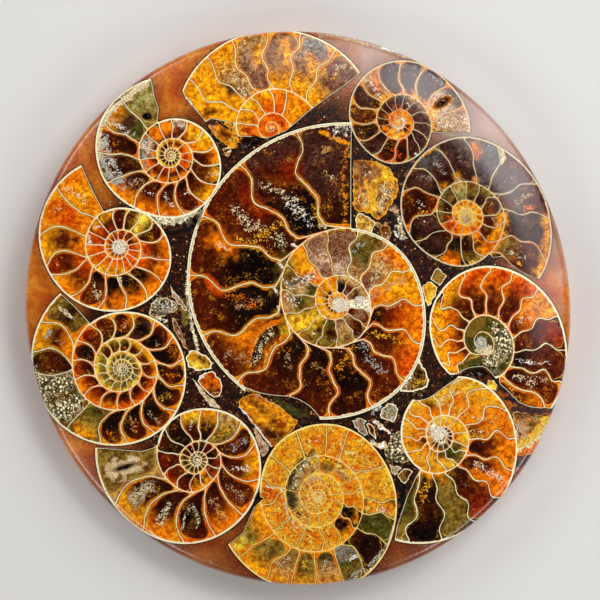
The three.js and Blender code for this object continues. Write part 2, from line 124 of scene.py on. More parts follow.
# %% The coils
COILS = {
    "large_ammonite": dict(
        at=(10.3, 1.4), mouth=85, growth=2.7, turn=353, bottom=6,
        wall=[49.2, 45.9, 40.4, 34.8, 31.8, 29, 24.4, 22.5,
              20.3, 17.9, 14.9, 13.6, 12.2, 11.1, 9.5, 8.4],
        lip="14.4,21.7 14.4,40",
        bites=["-14.9,-21.2 -9.8,-23.4 -.8,-24.2 3.3,-26.6 6.5,-30.4 3.8,-32.6 -4.9,-29.9 -13,-25.5"]),
    "top_right_ammonite": dict(
        at=(27.4, 50.6), mouth=-8, growth=2.2, turn=351,
        wall=[19.7, 17.6, 17.1, 15.7, 13.7, 12, 11.6, 10.4, 9, 8, 7.6, 6.7, 6, 5.1, 4.7, 4.4],
        lip="36.5,47.8 43.5,47.6"),
    "right_ammonite": dict(
        at=(49.7, -9.4), mouth=-42.6, growth=2.6, turn=340,
        wall=[26.6, 23.4, 21.8, 20.6, 17, 13.3, 12.1, 11,
              10.2, 8.8, 7.9, 7.3, 5.5, 4.4, 3.8, 3.2],
        lip="54.9,-20.7 56.8,-22.3 60.3,-25.8 63,-26.9 66,-27.3",
        bites=["""38.9,-15.4 41,-18.2 42.9,-18.1 46.2,-16.2 50.5,-15.8 52.4,-17.4 54.1,-19.6
            54.9,-21.1 52.2,-23.9 42.7,-23.4 37.5,-19"""]),
    "upper_right_ammonite": dict(
        at=(45.4, 25.2), mouth=-40.4, growth=2.2, turn=343,
        wall=[26.7, 23, 21.1, 21.4, 19.4, 17.1, 14.7, 13.8,
              11.6, 10.6, 9.3, 9.2, 8.5, 7.4, 6.2, 5.2],
        lip="52.9,13.7 55.7,14 57.6,12.1 60.3,10.2 62.8,8.8"),
    "lower_right_ammonite": dict(
        at=(38.9, -34.5), mouth=-113.5, growth=2.3, turn=353,
        wall=[31.4, 26.7, 22.2, 19.4, 17.2, 13.3, 11.4, 10.9,
              10.9, 9.6, 8, 6.8, 5.6, 4.9, 4.3, 4],
        lip="32.1,-45.9 29.6,-51.4 26.9,-59.8",
        bites=["29.1,-22.8 31,-24.9 33.2,-25.1 36.1,-24.2 40.5,-20.8 44,-18.6 41.3,-16.3 34.5,-17.4"]),
    "bottom_ammonite": dict(
        at=(5.4, -51.2), mouth=-151.6, growth=1.8, turn=334,
        wall=[27.8, 26.9, 25.7, 22.2, 20.4, 20.2, 18.5, 16.2,
              15.4, 15.4, 14.4, 12.8, 11.7, 11.3, 10.4, 9.2],
        lip="-9.2,-51.6 -12,-54.3 -13.6,-57.9 -14.9,-61.1"),
    "bottom_left_ammonite": dict(
        at=(-27.4, -41.3), mouth=173.3, growth=2.3, turn=344,
        wall=[28, 25.6, 23.2, 20, 17.5, 16.2, 14.2, 12.9, 11, 9.6, 8.8, 6.9, 6.5, 6, 5.2, 4.7],
        lip="-38,-37 -39.4,-38 -42.4,-39"),
    "lower_left_ammonite": dict(
        at=(-47.8, -16.5), mouth=129.5, growth=1.8, turn=356,
        wall=[26.6, 25.2, 23.1, 21.1, 19.5, 17.5, 16.6, 15.6,
              15, 13.7, 12.8, 11.3, 10.1, 9.6, 8.5, 8.4],
        lip="-56.5,-4.3 -60.3,0"),
    "left_ammonite": dict(
        at=(-48.6, 16.5), mouth=115, growth=2.36, turn=358,
        wall=[24.8, 23.1, 20.2, 18.1, 16.6, 14.9, 12.7, 11.1,
              10.5, 9.4, 8.9, 8, 6.9, 6.1, 5.6, 4.9],
        lip="-53,26.5 -56.2,32.5"),
    "upper_left_ammonite": dict(
        at=(-34.5, 41.5), mouth=105, growth=2.2, turn=366,
        wall=[21.8, 21.7, 19.8, 17.4, 16.9, 15, 12.4, 10.7, 9.8, 9.2, 8.5, 7.9, 7.2, 6.3, 5.5, 4.8],
        lip="-38.3,50.8 -38,54.6 -39.1,57.3"),
    "top_ammonite": dict(
        at=(-7.3, 49), mouth=32.1, growth=2.65, turn=126,
        wall=[28.5, 27.3, 26.5, 26, 23.5, 21, 18.5, 15, 12.1, 10.8, 10, 9.6],
        lip="""-30.7,57.2 -26.2,52 -25.1,50.5 -23.6,51.5 -17.7,50.3 -16.2,46.6 -13.3,46.6 -8.3,46.1
            -3.3,48.1 3.3,53.8 13.7,61.4"""),
}

USUAL_COIL = dict(bottom=7.5, bites=[])


def path_of(text):
    """The places of a path that a table writes as text: x,y x,y."""
    return [[float(value) for value in place.split(",")] for place in text.split()]


for name, coil in COILS.items():
    COILS[name] = {**USUAL_COIL, **coil, "lip": path_of(coil["lip"])}
    COILS[name]["bites"] = [path_of(bite) for bite in coil.get("bites", [])]
print(len(COILS), "coils")

# %% [markdown]
# The wall has to be a smooth curve through those radii. Radii that grow by a factor make a
# straight line in their logarithms, so the curve is drawn through the logarithms: a cubic
# piece between each two values, which takes its slope from their neighbours.

# %% The wall of a coil
EIGHTH = 45  # degrees
WHORLS = 6
WALL_STEP = 2.5  # degrees


def wall_table(coil):
    """Logarithm of the wall's radius at every eighth of a turn, from one before the mouth."""
    logs = [math.log(coil["wall"][0])]
    for eighth in range(8 * (WHORLS + 1) + 3):
        back = max(0, math.ceil((eighth - len(coil["wall"]) + 1) / 8))
        logs.append(math.log(coil["wall"][eighth - 8 * back]) - back * math.log(coil["growth"]))
    return np.array(logs)


for coil in COILS.values():
    coil["table"] = wall_table(coil)


def wall_radius(coil, back):
    """Radius of the outer wall, a number of degrees back from the mouth, on a smooth curve."""
    table = coil["table"]
    last = len(table) - 4.001  # three more values are needed after the place
    place = np.clip(np.asarray(back, float) / EIGHTH, 0, last)
    step = np.floor(place).astype(int)
    part = place - step
    a, b, c, d = (table[step + i] for i in range(4))
    linear = (c - a) / 2
    square = a - 2.5 * b + 2 * c - 0.5 * d
    cube = (d - a) / 2 + 1.5 * (b - c)
    return np.exp(b + part * (linear + part * (square + part * cube)))


def coil_place(coil, x, y):
    """Degrees back from the mouth, and radius, of points in the plan."""
    dx = x - coil["at"][0]
    dy = y - coil["at"][1]
    radius = np.hypot(dx, dy)
    turn = (np.degrees(np.arctan2(dy, dx)) - coil["mouth"]) % 360
    back = turn - 360
    for whorl in range(WHORLS):
        reached = back == turn + 360 * (whorl - 1)
        deeper = reached & (wall_radius(coil, turn + 360 * whorl) >= radius)
        back = np.where(deeper, turn + 360 * whorl, back)
    return back, radius


def coil_outline(coil):
    """The outer wall from the mouth back, closed along the broken lip."""
    back = np.arange(0, coil["turn"] + 1, WALL_STEP)
    angle = np.radians(coil["mouth"] + back)
    radius = wall_radius(coil, back)
    x = coil["at"][0] + radius * np.cos(angle)
    y = coil["at"][1] + radius * np.sin(angle)
    return np.vstack([np.column_stack([x, y]), coil["lip"]])


for name, coil in list(COILS.items())[:3]:
    print(name, "is", round(float(np.ptp(coil_outline(coil), axis=0).max()), 1), "mm long")

# %% [markdown]
# ## The chips and the pits
# Loose chips of shell, calcite and stone fill the gaps. Only their sawn outline shows, so
# each is a small outline seen from above. The pits are places where the ground face broke
# into a hollow of the matrix, and the vugs are hollows that the crystals never filled.

# %% The chips and the pits
CHIPS = {
    "amber_block": """14.9,40.2 18.5,40.2 21.7,39.8 25,37.8 27.6,33.2 26.9,30.7 23.6,25.3 21.7,23.6
        19.6,25.7 14.9,26.6""",
    "tan_block": "16,25.8 19,25 21.2,23.1 19.8,20.1 15.8,20.9",
    "brown_chip": "22.3,22.3 25,22.3 25.3,20.1 24.5,17.7 22.6,19",
    "cream_lump": "26.9,24.7 27.7,25.5 28.4,22.3 29.1,19.6 29.9,18.8 28.3,18.9 27.2,20.7",
    "olive_square": "37.8,11 40.5,8.7 38.6,6 35.9,7.9",
    "yellow_chip": "35.7,7.5 38,5.7 36.1,.8 35.2,.5 33.6,5.7",
    "amber_chip": """-29.3,-11.4 -27.2,-11.7 -25,-12.9 -23.5,-14.4 -23.4,-16.3 -25,-16.8 -28,-17
        -29.9,-16 -30.3,-13.6""",
    "orange_chip": """-25.5,-17.4 -22.6,-17.4 -21.2,-19.6 -20.5,-21.2 -21.2,-23.9 -23.1,-24.2
        -25.3,-22.3 -27.4,-19.6""",
    "white_sliver": """-28.8,-19 -27.7,-20 -24.5,-23.8 -22.3,-25.3 -21.1,-27.2 -23.4,-27 -25.5,-24.6
        -27.4,-21.7""",
    "grey_lump": "-40.2,.5 -38.6,2.6 -35.9,3 -32.6,1.2 -33,-.8 -36.7,-2.3 -38.9,-2.9 -40.4,-1.4",
    "pale_sliver": """-34.2,-2.4 -33.2,-3.3 -31.8,-6 -30.4,-10.1 -30.2,-11.1 -31,-10.9 -32.6,-7.9
        -34,-5.2""",
    "thin_sliver": "-34.8,6.5 -33.4,4.3 -31.2,1.6 -29.9,-.8 -30.7,-.8 -32.6,1.1 -34.5,3.8",
    "amber_wedge": """-15.9,-25 -12.2,-23 -9.8,-23.9 -4.6,-26.9 -2.2,-29.1 .1,-30.7 -1.6,-33.7
        -3.8,-35.1 -6.2,-37.6 -7.3,-37.8 -10.9,-33.2 -13.9,-29.3 -16.3,-26.9""",
    "pink_sliver": "-12.2,-31.7 -10.9,-33.7 -8.2,-37.5 -7.6,-38.3 -9.8,-40.8 -10.7,-37.5 -11.7,-34",
    "quarter_chip": """27.2,-22.7 30.4,-22.8 33.2,-22.3 35.3,-21.3 35.6,-18.9 34.2,-16.6 33,-13.9
        32.2,-14.4 28.8,-20""",
    "striped_block": "22.6,-27.4 24.5,-25.7 26.6,-26.5 27.2,-28 26.2,-31 23.9,-30.4 22.3,-29.6",
    "white_splinter": "20.1,-30.6 21.2,-30.3 23.4,-31.9 25.4,-34.2 24.5,-34.1 21.7,-32.5",
    "grey_chip": "14.7,-30.7 17.1,-29.8 18.6,-30.8 17.7,-31.7 19,-34 18.2,-34.8 16,-32.9",
    "rust_chip": "19.2,-31 20.7,-32.3 21.2,-35.6 20.1,-34.8 18.3,-31.8",
    "cream_chip": "20.4,-37 22,-36.4 23.6,-36.3 23.9,-37.8 22.6,-38.6",
    "speckled_block": """25.3,-34 27.7,-33.3 27.9,-35.9 28.8,-39.1 30.4,-41.4 29.1,-42.3 25.5,-41.7
        23.5,-39.9 23.5,-38.3 25,-36.1""",
    "blue_grey_lump": "24.5,-42.4 26.1,-42.7 28.3,-43.2 27.2,-44.6 26.4,-45.9 25.3,-44.8",
    "brown_oval": "28.8,-43.5 31,-44.2 30.4,-45.9 29.1,-47.8 27.7,-46.9 27,-45.1",
    "rim_shell": """58.2,-28.3 62,-28.3 63.9,-29.9 66.6,-28.8 70.1,-28.5 70.1,-33.7 67.1,-37.5
        63.9,-39.9 59.8,-40.4 59.9,-35.9 59.1,-31.5""",
    "yellow_nub": "52,-19.6 53,-19.4 54.1,-20.8 54.1,-22.6 52.4,-22.1 51.2,-21.1",
    "orange_lump": """-24.5,50 -22.3,50.5 -19.6,49.9 -17.4,47 -16.7,43.5 -18.2,43.5 -20.1,44.6
        -21.5,45.8 -23.6,47.6""",
    "pale_chip": "-20.5,43.6 -19,43.8 -17.9,43 -18.2,41.8 -19,41 -19.8,41.3 -20.4,42.4",
}

PITS = {
    "top": "-16,46.1 -13,46.1 -12.2,47.3 -8.7,45.7 -12,44 -14.9,42.1",
    "left": "-24.9,28.3 -25.8,26.1 -26.8,22.3 -29.9,21.5 -31,23.6 -28.8,24.2 -26.6,25.8",
    "right": "43.8,-18.3 45.9,-16.7 50.5,-16.3 52.4,-17.9 53.5,-19.3 51.6,-18.6 49.5,-19.7 45.7,-18.6",
    "bottom": "-10.7,-49.5 -9.5,-51.1 -11.1,-52.6 -12.4,-52.4 -11.5,-50.5",
}

VUGS = [
    dict(at=(39.2, 55.9), long=2.8, short=1.1, turn=32, depth=2.2),
    dict(at=(-47.4, -43.4), long=3.8, short=1.0, turn=17, depth=2.2),
    dict(at=(-41.2, 52.2), long=1.5, short=1.1, turn=0, depth=1.8),
]
CHIPS = {name: path_of(text) for name, text in CHIPS.items()}
PITS = {name: path_of(text) for name, text in PITS.items()}
print(len(CHIPS), "chips,", len(PITS), "pits,", len(VUGS), "vugs")

# %% [markdown]
# A chip drawn with straight sides looks cut out with scissors. Stone breaks in small steps,
# so each side is divided finely and every point is moved by seeded noise, which gives the
# same chip each time the script runs.

# %% Broken and rounded outlines
CHIP_DEPTH = 3.5
CHIP_STEP = 0.45
CHIP_ROUGHNESS = 0.55
CHIP_LUMPS = 0.9
PIT_DEPTH = 2.5
PIT_SIDE = 0.8


def rough(x, y, size, seed):
    """Smooth seeded noise, from -1 to 1, with lumps of a size in millimetres."""
    return np.array([noise.noise(Vector((a / size, b / size, seed))) for a, b in zip(x, y)])


def rounded(outline, cuts=(0.2, 0.25)):
    """The outline with each corner cut twice, as a tumbled chip has no sharp ones."""
    points = np.array(outline, float)
    for cut in cuts:
        ahead = np.roll(points, -1, axis=0)
        near = points + (ahead - points) * cut
        far = points + (ahead - points) * (1 - cut)
        points = np.stack([near, far], axis=1).reshape(-1, 2)
    return points


def broken(outline):
    """The outline of a broken chip: small steps along each side, moved in and out a little."""
    points = rounded(outline, (0.12, 0.2))
    rows = []
    for here, ahead in zip(points, np.roll(points, -1, axis=0)):
        count = max(1, int(np.hypot(*(ahead - here)) / CHIP_STEP))
        rows += [here + (ahead - here) * i / count for i in range(count)]
    x, y = np.array(rows).T
    return np.column_stack([x + CHIP_ROUGHNESS * rough(x, y, CHIP_LUMPS, 31),
                            y + CHIP_ROUGHNESS * rough(x, y, CHIP_LUMPS, 37)])


outlines = {name: coil_outline(coil) for name, coil in COILS.items()}
outlines.update({name: broken(outline) for name, outline in CHIPS.items()})
pits = {name: rounded(outline) for name, outline in PITS.items()}
print(sum(len(outline) for outline in outlines.values()), "points on the outlines")

# %% [markdown]
# ## One net for the whole face
# The pieces were ground together, so their faces meet in one surface. Pieces modelled one by
# one and cut with booleans would leave slits and slivers. Instead they are all cut from one
# net of triangles over the plan. A constrained Delaunay triangulation takes loose points and
# lines that must be edges, and returns a net that keeps both. The lines are the outlines of
# all pieces, and the points stand closer where a coil has its small inner whorls.

# %% One net for the whole face
SPACING = 0.55
CORE_SPACING = 0.32
CORE_SIZE = 6.5
ROLL_RINGS = [ROLL_START, 0.9865, 0.9925, 0.9965, 0.999]
RING_GAP = 0.2
JUST_INSIDE = 0.99995


def hexagonal(spacing, middle, size):
    """Points of a hexagonal grid inside a circle."""
    rows = np.arange(-size, size, spacing * math.sqrt(3) / 2)
    columns = np.arange(-size, size, spacing)
    x, y = np.meshgrid(columns, rows)
    x = x + (np.arange(len(rows)) % 2)[:, None] * spacing / 2
    keep = np.hypot(x, y) < size
    return np.column_stack([x[keep] + middle[0], y[keep] + middle[1]])


def loose_points():
    """Points between the lines: an even grid, and a finer one in the heart of each coil."""
    grid = hexagonal(SPACING, (0, 0), RADIUS + 2)
    x, y = grid.T
    keep = np.hypot(x, y) < plate_radius(np.arctan2(y, x)) * ROLL_START - RING_GAP
    hearts = []
    for coil in COILS.values():
        keep &= np.hypot(x - coil["at"][0], y - coil["at"][1]) > CORE_SIZE
        hearts.append(hexagonal(CORE_SPACING, coil["at"], CORE_SIZE))
    return [grid[keep]] + hearts


rings = [rim_ring(share) for share in [1.0] + ROLL_RINGS]
lines = rings + list(outlines.values()) + list(pits.values())
for coil in COILS.values():
    lines += [rounded(bite) for bite in coil["bites"]]

edges = []
start = 0
for line in lines:
    count = len(line)
    edges += [(start + i, start + (i + 1) % count) for i in range(count)]
    start += count
points = [Vector(point) for point in np.vstack(lines + loose_points())]
flat, _, corners, _, _, _ = delaunay_2d_cdt(points, edges, [], 0, 1e-4, False)
plan = np.array([(point.x, point.y) for point in flat])
net = np.array(corners)
net = net[share_of_radius(*plan[net].mean(axis=1).T) < JUST_INSIDE]
middles = plan[net].mean(axis=1)

ax, ay = (plan[net[:, 1]] - plan[net[:, 0]]).T
bx, by = (plan[net[:, 2]] - plan[net[:, 0]]).T
flipped = ax * by - ay * bx < 0
net[flipped] = net[flipped][:, ::-1]
print(len(plan), "points,", len(net), "triangles")

# %% [markdown]
# Now each triangle is given to a piece. The first outline that holds its middle wins, which
# is the order in which the pieces were set. What no piece takes is matrix.

# %% Share out the net
PIECES = list(COILS) + list(CHIPS)
MATRIX = -1


def inside(outline, x, y):
    """Which points lie inside a closed outline, by counting the edges to their right."""
    outline = np.asarray(outline)
    low = outline.min(axis=0)
    high = outline.max(axis=0)
    near = np.flatnonzero((x > low[0]) & (x < high[0]) & (y > low[1]) & (y < high[1]))
    odd = np.zeros(len(near), bool)
    px = x[near]
    py = y[near]
    for (ax, ay), (bx, by) in zip(outline, np.roll(outline, -1, axis=0)):
        if ay != by:
            crosses = (ay > py) != (by > py)
            odd ^= crosses & (px < (bx - ax) * (py - ay) / (by - ay) + ax)
    result = np.zeros(len(x), bool)
    result[near[odd]] = True
    return result


owner = np.full(len(net), MATRIX)
for index, name in enumerate(PIECES):
    taken = inside(outlines[name], *middles.T)
    for bite in COILS.get(name, {}).get("bites", []):
        taken &= ~inside(rounded(bite), *middles.T)
    owner[taken & (owner == MATRIX)] = index
print("the matrix keeps", (owner == MATRIX).sum(), "triangles")

# %% [markdown]
# ## Hollows
# The pits and the vugs are real relief, and a bump map would look flat from the side, so the
# net sinks there. A pit has steep broken sides. A vug is half an egg, rough with crystals.

# %% Hollows
def line_distance(outline, x, y, closed=True):
    """Distance from points to an outline, or to an open line."""
    outline = np.array(outline, float)
    best = np.full(len(x), np.inf)
    for a, b in zip(outline if closed else outline[:-1], np.roll(outline, -1, axis=0)):
        step = b - a
        along = np.clip(((x - a[0]) * step[0] + (y - a[1]) * step[1]) / (step @ step + 1e-12), 0, 1)
        best = np.minimum(best, np.hypot(x - a[0] - along * step[0], y - a[1] - along * step[1]))
    return best


height = surface_height(*plan.T)
for outline in pits.values():
    within = np.flatnonzero(inside(outline, *plan.T))
    x, y = plan[within].T
    depth = PIT_DEPTH * np.clip(line_distance(outline, x, y) / PIT_SIDE, 0, 1) ** 0.6
    height[within] -= depth * (0.8 + 0.2 * rough(x, y, 0.9, 3))
for vug in VUGS:
    turn = math.radians(vug["turn"])
    dx, dy = (plan - vug["at"]).T
    along = (dx * math.cos(turn) + dy * math.sin(turn)) / vug["long"]
    across = (dy * math.cos(turn) - dx * math.sin(turn)) / vug["short"]
    deep = np.sqrt(np.clip(1 - along ** 2 - across ** 2, 0, 1))
    height -= vug["depth"] * deep * (0.85 + 0.3 * rough(*plan.T, 0.7, 5))
print("lowest point of the face", round(height[np.hypot(*plan.T) < 70].min(), 2), "mm")

# %% [markdown]
# ## The colours of the fills
# Iron in the water that fed the calcite stained it from cream through amber to nearly black.
# A few dozen named colours are enough for the whole plate, and one letter for each lets a
# chamber's colours be written as a word.

# %% Colours of the fills
COLOURS = {
    "k": "0c0402",  # coal
    "t": "180a03",  # tobacco
    "u": "340f02",  # umber
    "c": "541803",  # chestnut
    "r": "942801",  # russet
    "f": "d84c04",  # fire
    "o": "f27a04",  # orange
    "a": "f49c0a",  # amber
    "h": "f8bc22",  # honey
    "y": "f4c83a",  # straw
    "e": "efe2b8",  # cream
    "w": "f1ede0",  # white
    "n": "b98a4e",  # sand
    "p": "c9a27e",  # shell pink
    "v": "7f6222",  # olive
    "m": "484213",  # moss
    "g": "8f877c",  # grey
    "s": "564f4c",  # slate
    "l": "42211a",  # plum
    "b": "b2b3ac",  # blue-grey
    "d": "84553a",  # clay
    "i": "968747",  # khaki
    "q": "463036",  # lilac grey
    "x": "fff6cc",  # clean shell
    "z": "dac49c",  # greyed shell
    "j": "ffe48c",  # golden shell
}


def linear(code):
    """Linear colour from a six-figure code."""
    levels = [int(code[i:i + 2], 16) / 255 for i in (0, 2, 4)]
    return [v / 12.92 if v <= 0.04045 else ((v + 0.055) / 1.055) ** 2.4 for v in levels]


INK = {letter: np.array(linear(code)) for letter, code in COLOURS.items()}
print(len(INK), "colours")

# %% [markdown]
# ## What each chamber is made of
# A septum is the thin wall between two chambers. Sawn through, it is a pale line from the
# inner wall of the whorl to the outer, and in many coils it is folded. `septa` says how many
# degrees back from the mouth each one stands, at the heights across the whorl in `heights`
# (1 is the outer wall). A word with a single number is a septum with the coil's usual `bend`,
# and after the last word they follow every `then` degrees.
#
# `fills` has one word for each chamber: the colour near the outer wall, in the middle, near
# the inner wall, and round the edge. `patches` are soft spots: degrees back, height, half
# sizes, colour, and how broken up they are, from 0 for milky to 1 for druzy; -1 recolours the
# stone itself. The other values set the look of a whole coil: `glow` the width of the bright
# edge of a chamber, `shell` and `line` half the width of the outer wall and of a septum,
# `faint` how much finer the lines of the inner whorls are, `seam` their colour, and `crackle`
# how crazed the stone is.

